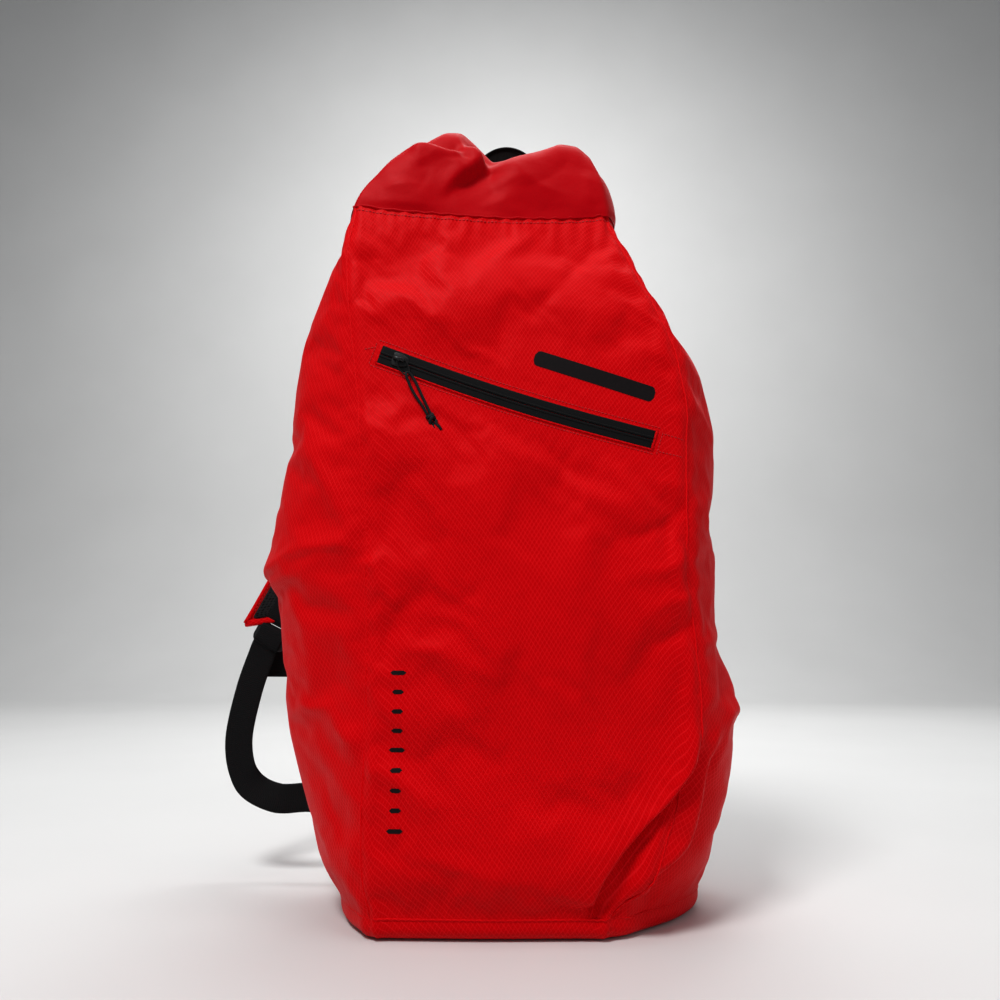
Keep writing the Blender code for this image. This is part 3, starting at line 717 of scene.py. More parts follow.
def noise_field(points, size, seed, stretch=(1.0, 1.0, 1.0)):
    """Smooth noise between about -1 and 1 at each point."""
    flat = points.reshape(-1, 3) * np.array(stretch) / size + seed
    values = [noise.noise(Vector(p)) for p in flat]
    return np.array(values).reshape(points.shape[:2])


def build_walls():
    """The walls' grid: points, panel of each column and its place on the panel."""
    panels, places = [], []
    for panel, count in COLUMNS:
        for c in range(count):
            panels.append(panel)
            places.append(c / count)
    rows = 122
    points = np.zeros((rows, len(panels), 3))
    for column, (panel, t) in enumerate(zip(panels, places)):
        top_x, _ = wall_point(panel, t, np.array([0.54]))
        top = seam_height(top_x[0])
        if panel == BACK:
            top = 0.544
        z = BASE_SEAM + (top - BASE_SEAM) * np.linspace(0, 1, rows)
        x, y = wall_point(panel, t, z)
        points[:, column, 0], points[:, column, 1], points[:, column, 2] = x, y, z
    return points, np.array(panels), np.array(places)


def fold_walls(points, panels, places):
    """Move the walls along their normals by the folds."""
    x, y, z = points[..., 0], points[..., 1], points[..., 2]
    normal = grid_normals(points)
    front = (panels == FRONT)[None, :]
    side = ((panels == RIGHT) | (panels == LEFT))[None, :]
    back = (panels == BACK)[None, :]
    facing = smoothstep(0.035, -0.02, y)
    quiet = np.where(front, zip_quiet(x, z), 1.0)
    edge = smoothstep(0.0, 0.03, z) * smoothstep(0.0, 0.012, 0.545 - z)

    moved = np.zeros(x.shape)
    for path, height, *shape in FRONT_RIDGES:
        moved += np.where(front, ridge(x, z, path, FOLD_DEPTH * height, *shape) * quiet, 0.0)
    for path, height, *shape in SIDE_RIDGES:
        moved += np.where(side, ridge(x, z, path, FOLD_DEPTH * height, *shape) * facing, 0.0)
    slid = np.zeros(points.shape)
    for fold in FRONT_STEPS:
        out, slide_x, slide_z = step(x, z, *fold)
        moved += np.where(back, 0.0, out * facing)
        slid[..., 0] += np.where(back, 0.0, slide_x * facing)
        slid[..., 2] += np.where(back, 0.0, slide_z * facing)

    # Wide swells, then creases that fan out from the seams
    moved += noise_field(points, 0.085, 3.1) * np.where(back, 0.0008, 0.0026) * quiet
    stretched = noise_field(points, 0.065, 7.7, (1.0, 1.0, 0.45))
    moved += (0.5 - np.abs(stretched)) * np.where(back, 0.0006, 0.0018) * quiet * edge
    slanted = points.copy()
    slanted[..., 2] += 0.8 * points[..., 0]
    crease = 1 - np.abs(noise_field(slanted, 0.022, 1.3, (0.5, 0.5, 1.0))) * 3.2
    moved += np.clip(crease, 0, 1) * np.where(back, 0.0003, 0.0004) * quiet * edge

    # Gathers under the collar seam, and a hollow below them
    near_top = np.exp(-((0.541 - z) / 0.014) ** 2)
    puckers = np.sin(x * 2 * np.pi / 0.011 + 2.0 * np.sin(x * 60))
    moved += np.where(back, 0.2, 1.0) * puckers * 0.0007 * near_top
    moved -= np.where(front, 0.0030 * np.exp(-((z - 0.505) / 0.022) ** 2)
                      * np.sin(np.pi * places[None, :]), 0.0)

    # The seams between panels draw the cloth in, with a soft roll on both sides
    gap = np.minimum(places, 1 - places)[None, :] * np.where(front, 0.23, np.where(back, 0.26, 0.17))
    moved += -0.0020 * np.exp(-(gap / 0.0024) ** 2) + 0.0012 * np.exp(-((gap - 0.0075) / 0.005) ** 2)
    fidget = noise_field(points, 0.018, 11.0)
    moved += fidget * 0.0010 * np.exp(-(gap / 0.016) ** 2) * edge * quiet
    return points + normal * moved[..., None] + slid * edge[..., None]


def cloth_relax(name, points, pins, shrink, frames, cap, pressure=0.6):
    """Let the cloth buckle: it is cut a little larger than its shape and pushed from inside.
    Returns how far each point moved, at most cap."""
    rows, columns = points.shape[:2]
    faces = grid_faces(rows, columns, closed=True)
    mesh = bpy.data.meshes.new(name)
    mesh.from_pydata([tuple(p) for p in points.reshape(-1, 3)], [], faces)
    thing = add_object(name, mesh)
    group = thing.vertex_groups.new(name="pins")
    flat_pins = pins.ravel()
    for index in np.nonzero(flat_pins > 0.01)[0]:
        group.add([int(index)], float(flat_pins[index]), "REPLACE")
    modifier = thing.modifiers.new("cloth", "CLOTH")
    settings = modifier.settings
    settings.quality = 5
    settings.mass = 0.12
    settings.tension_stiffness = 22
    settings.compression_stiffness = 22
    settings.shear_stiffness = 12
    settings.bending_stiffness = 1.2
    settings.vertex_group_mass = "pins"
    settings.pin_stiffness = 8
    settings.shrink_min = shrink
    settings.use_pressure = True
    settings.uniform_pressure_force = pressure
    settings.effector_weights.gravity = 0.0
    modifier.collision_settings.use_collision = False
    modifier.point_cache.frame_start = 1
    modifier.point_cache.frame_end = frames
    for number in range(1, frames + 1):
        bpy.context.scene.frame_set(number)
    evaluated = thing.evaluated_get(bpy.context.evaluated_depsgraph_get())
    flat = np.zeros(rows * columns * 3)
    evaluated.data.vertices.foreach_get("co", flat)
    bpy.context.scene.frame_set(1)
    bpy.data.objects.remove(thing)
    moved = flat.reshape(points.shape) - points
    length = np.linalg.norm(moved, axis=2, keepdims=True)
    return moved * np.minimum(1.0, cap / np.maximum(length, 1e-9))


def make_shell():
    flat, panels, places = build_walls()
    points = fold_walls(flat, panels, places)
    x, z = points[..., 0], points[..., 2]
    front = (panels == FRONT)[None, :]
    pins = np.where(front, 1 - zip_quiet(x, z), 0.0)
    pins = np.maximum(pins, np.where((panels == BACK)[None, :], 0.85, 0.0))
    pins = np.maximum(pins, 1 - smoothstep(0.0, 0.008, z - BASE_SEAM))
    pins = np.maximum(pins, 1 - smoothstep(0.0, 0.010, 0.540 - z))
    at_seam = np.minimum(places, 1 - places)[None, :] < 0.001
    pins = np.maximum(pins, np.where(at_seam, 0.75, 0.0))
    points = points + cloth_relax("shell_sim", points, pins, -0.018, 16, 0.005)
    rows, columns = points.shape[:2]

    # Under the base seam the cloth turns in and closes with a flat floor
    bottom = points[0]
    normal = grid_normals(points)[1]
    normal[:, 2] = 0
    normal /= np.linalg.norm(normal, axis=1, keepdims=True)
    floor_rows = []
    turns = 5
    for k in range(1, turns + 1):
        angle = math.pi / 2 * k / turns
        ring = bottom.copy()
        swell = 0.0030 * math.sin(angle) * (1 - math.sin(angle) ** 6)
        ring[:, :2] -= normal[:, :2] * (0.0095 * (1 - math.cos(angle)) - swell)
        ring[:, 2] = 0.0004 + (bottom[:, 2] - 0.0004) * (1 - math.sin(angle))
        floor_rows.append(ring)
    centre = np.array((0.008, 0.002, 0.0006))
    flat_ring = floor_rows[-1]
    for share in (0.85, 0.6, 0.3, 0.08):
        ring = centre + (flat_ring - centre) * share
        ring[:, 2] = 0.0006
        floor_rows.append(ring)
    all_points = np.concatenate([np.array(floor_rows[::-1]), points])
    cut_points = np.concatenate([np.array(floor_rows[::-1]), flat])
    extra = len(floor_rows)
    verts = all_points.reshape(-1, 3)
    total = rows + extra

    faces, uvs = [], []
    start = 0
    for panel, count in COLUMNS:
        chosen = [(start + c) % columns for c in range(count + 1)]
        patch = cut_points[:, chosen]
        if panel in (FRONT, BACK):
            across = patch[..., 0] * (1 if panel == FRONT else -1) + (0.0 if panel == FRONT else 0.9)
        else:
            steps = np.linalg.norm(np.diff(patch, axis=1), axis=2)
            arc = np.concatenate([np.zeros((total, 1)), np.cumsum(steps, 1)], 1)
            across = arc - arc[:, [count // 2]] + (0.45 if panel == RIGHT else 1.35)
        height = np.linalg.norm(np.diff(patch, axis=0), axis=2)
        up = np.concatenate([np.zeros((1, count + 1)), np.cumsum(height, 0)], 0)
        for r in range(total - 1):
            for c in range(count):
                corners = ((r, c), (r, c + 1), (r + 1, c + 1), (r + 1, c))
                faces.append(tuple(i * columns + chosen[j] for i, j in corners))
                uvs += [(across[i, j], up[i, j]) for i, j in corners]
        start += count
    faces.append(tuple(reversed(range(columns))))
    uvs += [(x, y) for x, y, _ in verts[columns - 1::-1]]

    shell = make_object("sack_cloth", verts, faces, uvs, M["ripstop"], subdivide=1)
    ride(shell, "sack",
         ("front_panel_upper", "front_panel_lower", "side_panel_left_front",
          "side_panel_left_back", "side_panel_right_front", "side_panel_right_back",
          "bottom_panel", "back_panel", "zipper_end_left", "zipper_end_right"))
    return shell, points, panels


def surface_tree(thing):
    evaluated = thing.evaluated_get(bpy.context.evaluated_depsgraph_get())
    mesh = evaluated.data
    return BVHTree.FromPolygons([v.co.copy() for v in mesh.vertices],
                                [tuple(p.vertices) for p in mesh.polygons])


def on_front(tree, x, z, lift):
    """The point of the front surface at x and z, lifted off it."""
    hit, normal, _, _ = tree.ray_cast(Vector((x, -0.3, z)), Vector((0, 1, 0)))
    if hit is None:
        return Vector((x, -0.070 - lift, z))
    if normal.y > 0:
        normal = -normal
    return hit + normal * lift


def front_path(tree, points, lift, spacing=0.0025):
    """A path along straight pieces between (x, z) points, laid on the front surface."""
    path = []
    for (ax, az), (bx, bz) in zip(points, points[1:]):
        count = max(1, int(math.hypot(bx - ax, bz - az) / spacing))
        for k in range(count):
            t = k / count
            path.append(on_front(tree, ax + (bx - ax) * t, az + (bz - az) * t, lift))
    path.append(on_front(tree, *points[-1], lift))
    return path


def stitches(name, paths, material, body, pitch=0.0032, length=0.0023, radius=0.00033):
    """Rows of sewn stitches, each a short thread with tucked-in ends."""
    verts, faces, uvs = [], [], []
    for path in paths:
        lengths = distances(path)

        def at(s):
            s = min(max(s, 0.0), lengths[-1] - 1e-9)
            i = int(np.searchsorted(lengths, s, "right")) - 1
            share = (s - lengths[i]) / max(lengths[i + 1] - lengths[i], 1e-9)
            return path[i].lerp(path[i + 1], share)

        for k in range(int(lengths[-1] / pitch)):
            middle = (k + 0.5) * pitch
            a, b = at(middle - length / 2), at(middle + length / 2)
            along = (b - a).normalized()
            side = along.cross(Vector((0, 1, 0)))
            side = side.normalized() if side.length > 0.2 else along.cross(Vector((1, 0, 0))).normalized()
            out = side.cross(along)
            base = len(verts)
            for share, thick in ((0.0, 0.35), (0.18, 1.0), (0.82, 1.0), (1.0, 0.35)):
                point = a.lerp(b, share)
                for q in range(6):
                    angle = 2 * math.pi * q / 6
                    verts.append(point + (side * math.cos(angle) + out * math.sin(angle)) * radius * thick)
            for r in range(3):
                for q in range(6):
                    w = (q + 1) % 6
                    faces.append((base + r * 6 + q, base + r * 6 + w,
                                  base + (r + 1) * 6 + w, base + (r + 1) * 6 + q))
                    uvs += [(q * radius, r * 0.0008), (q * radius + radius, r * 0.0008),
                            (q * radius + radius, r * 0.0008 + 0.0008), (q * radius, r * 0.0008 + 0.0008)]
            faces.append(tuple(base + q for q in reversed(range(6))))
            faces.append(tuple(base + 18 + q for q in range(6)))
            uvs += [(0.0, 0.0)] * 12
    thing = make_object(name, verts, faces, uvs, material)
    tidy_normals(thing)
    return ride(thing, body)


def strip_on_front(name, tree, line, half, lift, crown, material, rows=120, columns=9):
    """A cloth strip laid on the front. line gives (x, z) at 0 to 1; crown lifts its middle."""
    verts, middles = [], []
    for r in range(rows):
        x, z = line(r / (rows - 1))
        nx, nz = line(min(1, (r + 0.5) / (rows - 1)))
        px, pz = line(max(0, (r - 0.5) / (rows - 1)))
        along = Vector((nx - px, 0, nz - pz)).normalized()
        up = Vector((-along.z, 0, along.x))
        middles.append(Vector((x, 0, z)))
        for c in range(columns):
            q = c / (columns - 1) * 2 - 1
            spot = middles[-1] + up * (q * half)
            rise = lift + crown * max(0.0, 1 - q * q)
            verts.append(on_front(tree, spot.x, spot.z, rise))
    uvs = grid_uvs([c / (columns - 1) * 2 * half for c in range(columns)], distances(middles))
    thing = make_object(name, verts, grid_faces(rows, columns), uvs, material)
    thicken(thing, "cloth", 0.0006, 0.0)
    return thing


def zip_point(share, across=0.0):
    """(x, z) along the zipper, moved across it."""
    x = ZIP_LEFT.x + (ZIP_RIGHT.x - ZIP_LEFT.x) * share
    z = float(zip_line(np.array(x)))
    return x + ZIP_UP.x * across, z + ZIP_UP.z * across


# ---------------------------------------------------------------- zipper


def make_zipper(tree):
    gap = 0.0002
    for name, low, high in (("zip_tape_low", -ZIP_HALF, -gap), ("zip_tape_high", gap, ZIP_HALF)):
        centre, half = (low + high) / 2, (high - low) / 2
        strip = strip_on_front(name, tree, lambda s, c=centre: zip_point(s, c), half, 0.0007, 0.0001,
                               M["tape"])
        node = "zipper_tape_lower" if low < 0 else "zipper_tape_upper"
        ride(strip, "sack", (node,))
    # The covered coil shows as two ridged rows under the tape's turned edges
    for sign in (-1, 1):
        verts = []
        rows = 420
        section = ((0.0, 0.0008), (0.0004, 0.0014), (0.0012, 0.0017), (0.0019, 0.0014), (0.0023, 0.0008))
        for r in range(rows):
            share = r / (rows - 1)
            bump = 0.00016 * math.sin(2 * math.pi * share * ZIP_LENGTH / 0.0016)
            for a, b in section:
                x, z = zip_point(share, sign * (a + gap))
                verts.append(on_front(tree, x, z, b + bump))
        uvs = grid_uvs([a for a, _ in section], [r / (rows - 1) * ZIP_LENGTH for r in range(rows)])
        row = make_object("zip_coil_" + ("high" if sign > 0 else "low"), verts,
                          grid_faces(rows, len(section)), uvs, M["tape"])
        ride(row, "sack", ("zipper_coil",))
    # Turned edges of the pocket opening
    for sign in (-1, 1):
        path = []
        for k in range(110):
            x, z = zip_point(-0.006 + 1.012 * k / 109, sign * (ZIP_HALF + 0.0004))
            path.append(on_front(tree, x, z, 0.0006))
        edge = sweep("zip_welt_" + ("high" if sign > 0 else "low"), path,
                     round_section(0.0007, 0.00045), (ZIP_UP.x, 0, ZIP_UP.z), M["ripstop"])
        ride(edge, "sack")
    for name, share in (("zip_stop_left", -0.004), ("zip_stop_right", 1.004)):
        path = []
        for k in range(8):
            x, z = zip_point(share, (k / 7 * 2 - 1) * ZIP_HALF)
            path.append(on_front(tree, x, z, 0.0007))
        ride(sweep(name, path, round_section(0.0009, 0.0005), tuple(ZIP_ALONG), M["ripstop"]),
             "sack")

    around = []
    for sign in (1, -1):
        ends = [zip_point(-0.022 + 1.044 * k / 60, sign * (ZIP_HALF + 0.0034)) for k in range(61)]
        around.append([on_front(tree, x, z, 0.0002) for x, z in ends])
    for share in (-0.026, 1.026):
        ends = [zip_point(share, (k / 8 * 2 - 1) * (ZIP_HALF + 0.003)) for k in range(9)]
        around.append([on_front(tree, x, z, 0.0002) for x, z in ends])
    # Seam lines that run on to the side seams
    for sign in (1, -1):
        around.append(front_path(tree, [zip_point(1.03, sign * ZIP_HALF),
                                        (0.126, zip_point(1.1, sign * ZIP_HALF)[1])], 0.0002))
    around.append(front_path(tree, [zip_point(-0.03, 0.004), (-0.118, 0.4205)], 0.0002))
    stitches("zip_stitches", around, M["thread"], "sack", 0.0026, 0.0019, 0.00026)


def flat_curve(name, outlines, thick, edge, material, place):
    """A moulded plate from closed outlines of (a, b) pairs, the first its rim and the others
    its holes. place turns (a, b, out) into a point."""
    curve = bpy.data.curves.new(name, "CURVE")
    curve.dimensions = "2D"
    curve.fill_mode = "BOTH"
    curve.extrude = thick / 2 - edge
    curve.bevel_depth = edge
    curve.bevel_resolution = 3
    for outline in outlines:
        spline = curve.splines.new("POLY")
        spline.points.add(len(outline) - 1)
        spline.use_cyclic_u = True
        for target, (a, b) in zip(spline.points, outline):
            target.co = (a, b, 0.0, 1.0)
    holder = add_object(name + "_curve", curve)
    mesh = bpy.data.meshes.new_from_object(holder.evaluated_get(bpy.context.evaluated_depsgraph_get()))
    bpy.data.objects.remove(holder)
    mesh.name = name
    for vertex in mesh.vertices:
        vertex.co = place(*vertex.co)
    mesh.materials.clear()
    mesh.materials.append(material)
    if not mesh.uv_layers:
        mesh.uv_layers.new(name="cloth")
    mesh.uv_layers[0].name = "cloth"
    bm = bmesh.new()
    bm.from_mesh(mesh)
    bmesh.ops.remove_doubles(bm, verts=bm.verts, dist=0.00001)
    bmesh.ops.recalc_face_normals(bm, faces=bm.faces)
    for face in bm.faces:
        face.smooth = face.calc_area() < 0.00002 or len(face.verts) <= 4
    bm.to_mesh(mesh)
    bm.free()
    mesh.set_sharp_from_angle(angle=math.radians(40))
    return add_object(name, mesh)


def rounded_outline(points, radius, steps=4):
    """An outline with its corners rounded."""
    outline = []
    count = len(points)
    for i in range(count):
        before, here, after = (Vector((*points[(i + k) % count], 0)) for k in (-1, 0, 1))
        back, on = before - here, after - here
        reach = min(radius, back.length * 0.45, on.length * 0.45)
        a, b = here + back.normalized() * reach, here + on.normalized() * reach
        for k in range(steps + 1):
            t = k / steps
            p = a * (1 - t) ** 2 + here * 2 * t * (1 - t) + b * t * t
            outline.append((p.x, p.y))
    return outline


def box_outline(low_a, high_a, low_b, high_b, radius):
    return rounded_outline([(low_a, low_b), (high_a, low_b), (high_a, high_b), (low_a, high_b)], radius)


def make_slider():
    """A tapered slider body with a bridge over it."""
    middle = ZIP_LEFT + ZIP_ALONG * SLIDER_START + Vector((0, -0.0012, -0.0004))

    def place(a, b, out):
        return middle + ZIP_ALONG * a + ZIP_UP * b + Vector((0, -out, 0))

    body = rounded_outline([(-0.0052, -0.0034), (-0.0046, -0.0047), (0.0006, -0.0047), (0.0062, -0.0030),
                            (0.0062, 0.0030), (0.0006, 0.0047), (-0.0046, 0.0047), (-0.0052, 0.0034)],
                           0.0012)
    plate = flat_curve("slider_body", [body], 0.0022, 0.0006, M["metal"],
                       lambda a, b, c: place(a, b, c + 0.0016))
    ride(plate, "slider", ("zipper_slider",))
    path = smooth_path([place(-0.0042, 0, 0.0020), place(-0.0040, 0, 0.0042), place(-0.0005, 0, 0.0050),
                        place(0.0030, 0, 0.0042), place(0.0036, 0, 0.0022)], 5)
    bridge = sweep("slider_bridge", path, round_section(0.0012, 0.0006), tuple(ZIP_UP), M["metal"])
    ride(bridge, "slider")


def make_puller():
    """A wire loop on the slider, and a doubled cord knotted below it."""
    axis = ZIP_LEFT + ZIP_ALONG * SLIDER_START + Vector((0, -0.0048, 0))
    down = Vector((0.470, 0.0, -0.883))
    side = Vector((0.883, 0.0, 0.470))
    out = Vector((0, -1, 0))
    loop = []
    for k in range(40):
        angle = 2 * math.pi * k / 40
        wide = 0.0036 * (1 + 0.25 * math.cos(angle))
        loop.append(axis + down * (0.0072 - 0.0076 * math.cos(angle)) + side * (wide * math.sin(angle))
                    + out * (0.0006 * math.cos(angle)))
    wire = tube("pull_wire", loop, 0.0006, M["metal"], sides=10, closed_path=True)
    ride(wire, "pull", ("zipper_puller",))

    # One cord: up from the knot, round the loop's lower bar, and down again
    def at(s, a, o):
        return axis + down * s + side * (a * 1.25) + out * o

    route = [at(0.0500, -0.0010, 0.0), at(0.0420, -0.0012, 0.0004), at(0.0300, -0.0021, 0.0008),
             at(0.0200, -0.0018, 0.0012), at(0.0155, -0.0013, 0.0018), at(0.0133, -0.0006, 0.0015),
             at(0.0129, 0.0004, 0.0008), at(0.0140, 0.0014, 0.0000), at(0.0170, 0.0019, -0.0004),
             at(0.0220, 0.0020, 0.0000), at(0.0320, 0.0016, 0.0004), at(0.0420, 0.0012, 0.0002),
             at(0.0500, 0.0010, 0.0)]
    path = smooth_path(route, 5)
    curve = bpy.data.curves.new("pull_cord_line", "CURVE")
    curve.dimensions = "3D"
    curve.bevel_depth = 0.0011
    curve.bevel_resolution = 3
    curve.use_fill_caps = True
    spline = curve.splines.new("POLY")
    spline.points.add(len(path) - 1)
    for target, point in zip(spline.points, path):
        target.co = (*point, 1.0)
    curve.materials.append(M["cord"])
    cord = add_object("pull_cord_line", curve)
    ride(cord, "pull", ("pull_cord",))
    length = distances(path)[-1]

    knot_route = [at(0.0500, 0.0, 0.0)]
    for k in range(26):
        angle = 2 * math.pi * k / 25 * 2
        s = 0.0508 + 0.0060 * k / 25 + 0.0010 * math.sin(angle * 1.5)
        knot_route.append(at(s, 0.0020 * math.cos(angle), 0.0020 * math.sin(angle)))
    knot_route += [at(0.0585, 0.0010, 0.0), at(0.0615, 0.0018, 0.0004), at(0.0650, 0.0020, 0.0002)]
    knot = tube("pull_knot_loops", knot_route, 0.00125, M["cord"])
    ride(knot, "pull", ("pull_knot",))
    tail = tube("pull_knot_tail", [at(0.0560, -0.0004, 0.0), at(0.0600, -0.0012, 0.0),
                                   at(0.0635, -0.0010, 0.0003)], 0.0011, M["cord"])
    ride(tail, "pull")


# ---------------------------------------------------------------- collar and its roll

# The crest of the rolled collar from left to right: share of the width, x, y, z
CREST = np.array((
    (0.00, -0.100, -0.028, 0.586), (0.08, -0.090, -0.030, 0.606), (0.18, -0.074, -0.031, 0.622),
    (0.30, -0.055, -0.030, 0.633), (0.37, -0.043, -0.030, 0.634), (0.43, -0.033, -0.034, 0.622),
    (0.50, -0.018, -0.042, 0.600), (0.57, -0.004, -0.042, 0.602), (0.68, 0.018, -0.038, 0.6115),
    (0.80, 0.040, -0.032, 0.622), (0.88, 0.054, -0.030, 0.621), (0.95, 0.064, -0.029, 0.612),
    (1.00, 0.069, -0.028, 0.598),
))
COLLAR_STEPS = (
    (((-66, 548), (-50, 566), (-36, 578), (-26, 588), (-26, 598), (-34, 606), (-46, 606)), 5.5, 2.2, 14,
     (0.35, 0.2)),
    (((-40, 600), (-55, 600), (-72, 606), (-90, 604)), 5, 2.4, 14, (0.2, 0.2)),
)
COLLAR_RIDGES = (
    (((-112, 560), (-85, 566), (-60, 560)), 2.2, 8, (0.3, 0.3)),
    (((-10, 598), (6, 580), (30, 566), (60, 560)), 2.6, 7, (0.3, 0.4)),
    (((-18, 590), (-20, 570), (-12, 552)), -3, 8, (0.2, 0.3)),
    (((50, 612), (40, 590), (20, 572), (-4, 562)), -2.2, 9, (0.3, 0.4)),
    (((64, 590), (60, 570), (66, 550)), 1.8, 6, (0.3, 0.3)),
    (((-78, 590), (-72, 575), (-80, 556)), -2.2, 8, (0.3, 0.3)),
)


def make_collar():
    """One cloth from the collar seam over the crest, with its roll standing out behind."""
    front, end, back = 64, 12, 64
    rows = 46
    columns = [(part, k / count) for part, count in (("front", front), ("right", end), ("back", back),
                                                     ("left", end)) for k in range(count)]
    points = np.zeros((rows, len(columns), 3))
    v = np.linspace(0, 1, rows)
    for c, (part, t) in enumerate(columns):
        across = {"front": t, "right": 1.0, "back": 1 - t, "left": 0.0}[part]
        crest = [np.interp(across, CREST[:, 0], CREST[:, k]) for k in (1, 2, 3)]
        panel = {"front": FRONT, "right": RIGHT, "back": BACK, "left": LEFT}[part]
        sx, sy = wall_point(panel, t, np.array([0.5405]))
        sx, sy = float(sx[0]), float(sy[0])
        low = 0.5445 if part == "back" else float(seam_height(sx)) - 0.0008
        depth = {"front": 0.0, "right": t, "back": 1.0, "left": 1 - t}[part]
        rise = np.sin(v * math.pi / 2)
        z = low + (crest[2] - low) * (0.35 * v + 0.65 * rise)
        x = sx + (crest[0] - sx) * (0.3 * v + 0.7 * v ** 2)
        front_y = sy + (crest[1] - sy) * (0.12 * v + 0.88 * v ** 4)
        height = (z - low) / (crest[2] - low)
        heights = (0.0, 0.30, 0.37, 0.45, 0.62, 0.80, 0.93, 1.0)
        stands = (0.010, 0.004, -0.007, -0.001, 0.003, -0.003, -0.014, crest[1])
        back_y = np.interp(height, heights, stands)
        if part == "back":
            y = back_y
        elif part == "front":
            y = front_y
        else:
            y = sy + (crest[1] - sy) * (0.2 * v + 0.8 * v ** 3)
        points[:, c] = np.stack([x, y, z], 1)
        if part in ("right", "left"):
            sign = 1 if part == "right" else -1
            points[:, c, 0] += sign * 0.002 * np.sin(math.pi * v) * math.sin(math.pi * depth)
    # Smooth the roll's outline up and down
    for _ in range(2):
        points[1:-1] = (points[:-2] + 2 * points[1:-1] + points[2:]) / 4
    normal = grid_normals(points)
    x, y, z = points[..., 0], points[..., 1], points[..., 2]
    is_front = np.array([c[0] == "front" for c in columns])[None, :]
    quiet = smoothstep(0.0, 0.008, z - seam_height(x)) * smoothstep(0.0, 0.14, 1 - v)[:, None]
    moved = np.zeros(x.shape)
    for crease in COLLAR_RIDGES:
        moved += np.where(is_front, ridge(x, z, *crease), 0.0)
    for fold in COLLAR_STEPS:
        moved += np.where(is_front, step(x, z, *fold)[0], 0.0)
    moved += noise_field(points, 0.060, 21.0) * 0.0030
    moved += (0.5 - np.abs(noise_field(points, 0.032, 5.0, (0.8, 1.0, 1.1)))) * 0.0016
    points = points + normal * (moved * quiet)[..., None]
    pins = np.maximum(1 - smoothstep(0.0, 0.006, z - seam_height(x)),
                      (1 - smoothstep(0.0, 0.10, 1 - v))[:, None])
    points = points + cloth_relax("collar_sim", points, pins, -0.015, 12, 0.0035, 0.3)

    count = len(columns)
    arc = np.concatenate([[0.0], np.cumsum(np.linalg.norm(
        np.diff(np.concatenate([points[10], points[10][:1]]), axis=0), axis=1))])
    faces = grid_faces(rows, count, closed=True)
    uvs = []
    up = np.concatenate([np.zeros((1, count)),
                         np.cumsum(np.linalg.norm(np.diff(points, axis=0), axis=2), 0)], 0)
    for r in range(rows - 1):
        for c in range(count):
            d = (c + 1) % count
            uvs += [(arc[c], up[r, c]), (arc[c + 1], up[r, d]),
                    (arc[c + 1], up[r + 1, d]), (arc[c], up[r + 1, c])]
    collar = make_object("collar_cloth", points.reshape(-1, 3), faces, uvs, M["collar"], subdivide=1)
    bm = bmesh.new()
    bm.from_mesh(collar.data)
    bmesh.ops.remove_doubles(bm, verts=[v for v in bm.verts if v.co.z > 0.58], dist=0.0012)
    bm.to_mesh(collar.data)
    bm.free()
    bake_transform(collar)
    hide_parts("collar_front", "collar_back", "collar_side_left", "collar_side_right",
                "rolled_collar")


def roll_end_path(sign):
    """From the end of the roll outwards, then back and in to the closure's webbing."""
    shorter = 0.60
    offsets = ((0.0700, -0.020, 0.588), (0.0960, -0.016, 0.588), (0.1100, 0.002, 0.586),
               (0.1060, 0.026, 0.582), (0.0860, 0.048, 0.578), (0.0620, 0.0565, 0.577),
               (0.0560, 0.0567, 0.577))
    return smooth_path([(COLLAR_X + sign * (0.058 + (x - 0.058) * shorter), y, z)
                        for x, y, z in offsets], 8)


def make_roll_ends():
    """The roll's ends, flattened in layers and bent back to the buckle."""
    for sign, side in ((-1, "left"), (1, "right")):
        path = roll_end_path(sign)
        verts = []
        along = directions(path)
        count = 40
        for i, point in enumerate(path):
            share = i / (len(path) - 1)
            half_tall = 0.0175 * (1 - share) + 0.0125 * share
            half_thick = 0.0085 * (1 - share) ** 1.5 + 0.0034
            up = Vector((0, 0, 1)) - along[i] * along[i].z
            up.normalize()
            out = along[i].cross(up)
            for k in range(count):
                angle = 2 * math.pi * k / count
                layer = 1 + 0.10 * math.cos(angle * 5 + 1.0) * abs(math.sin(angle))
                waver = 1 + 0.05 * noise.noise(Vector((share * 6, angle, sign * 2.0)))
                a = half_tall * math.copysign(abs(math.sin(angle)) ** 0.8, math.sin(angle)) * waver
                b = half_thick * math.copysign(abs(math.cos(angle)) ** 0.7, math.cos(angle)) * layer
                verts.append(point + up * a + out * b)
        faces = grid_faces(len(path), count, closed=True) + cap_faces(len(path), count)
        uvs = grid_uvs([c * 0.0018 for c in range(count + 1)], distances(path))
        uvs += [(0.0, 0.0)] * (2 * count)
        roll = make_object("roll_end_cloth_" + side, verts, faces, uvs, M["collar"], subdivide=1)
        tidy_normals(roll)
        ride(roll, "roll_top", ("roll_end_" + side,))

        inner = 0.0310 if sign > 0 else 0.0280
        line = [Vector((COLLAR_X + sign * (0.0640 + (inner - 0.0640) * k / 14), CLOSURE_Y, CLOSURE_Z))
                for k in range(15)]
        band = ribbon("closure_band_" + side, line, 0.0095, 0.0008, (0, 0, 1), "roll_top",
                      ("closure_webbing_" + side,))
        if sign > 0:
            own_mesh(band)


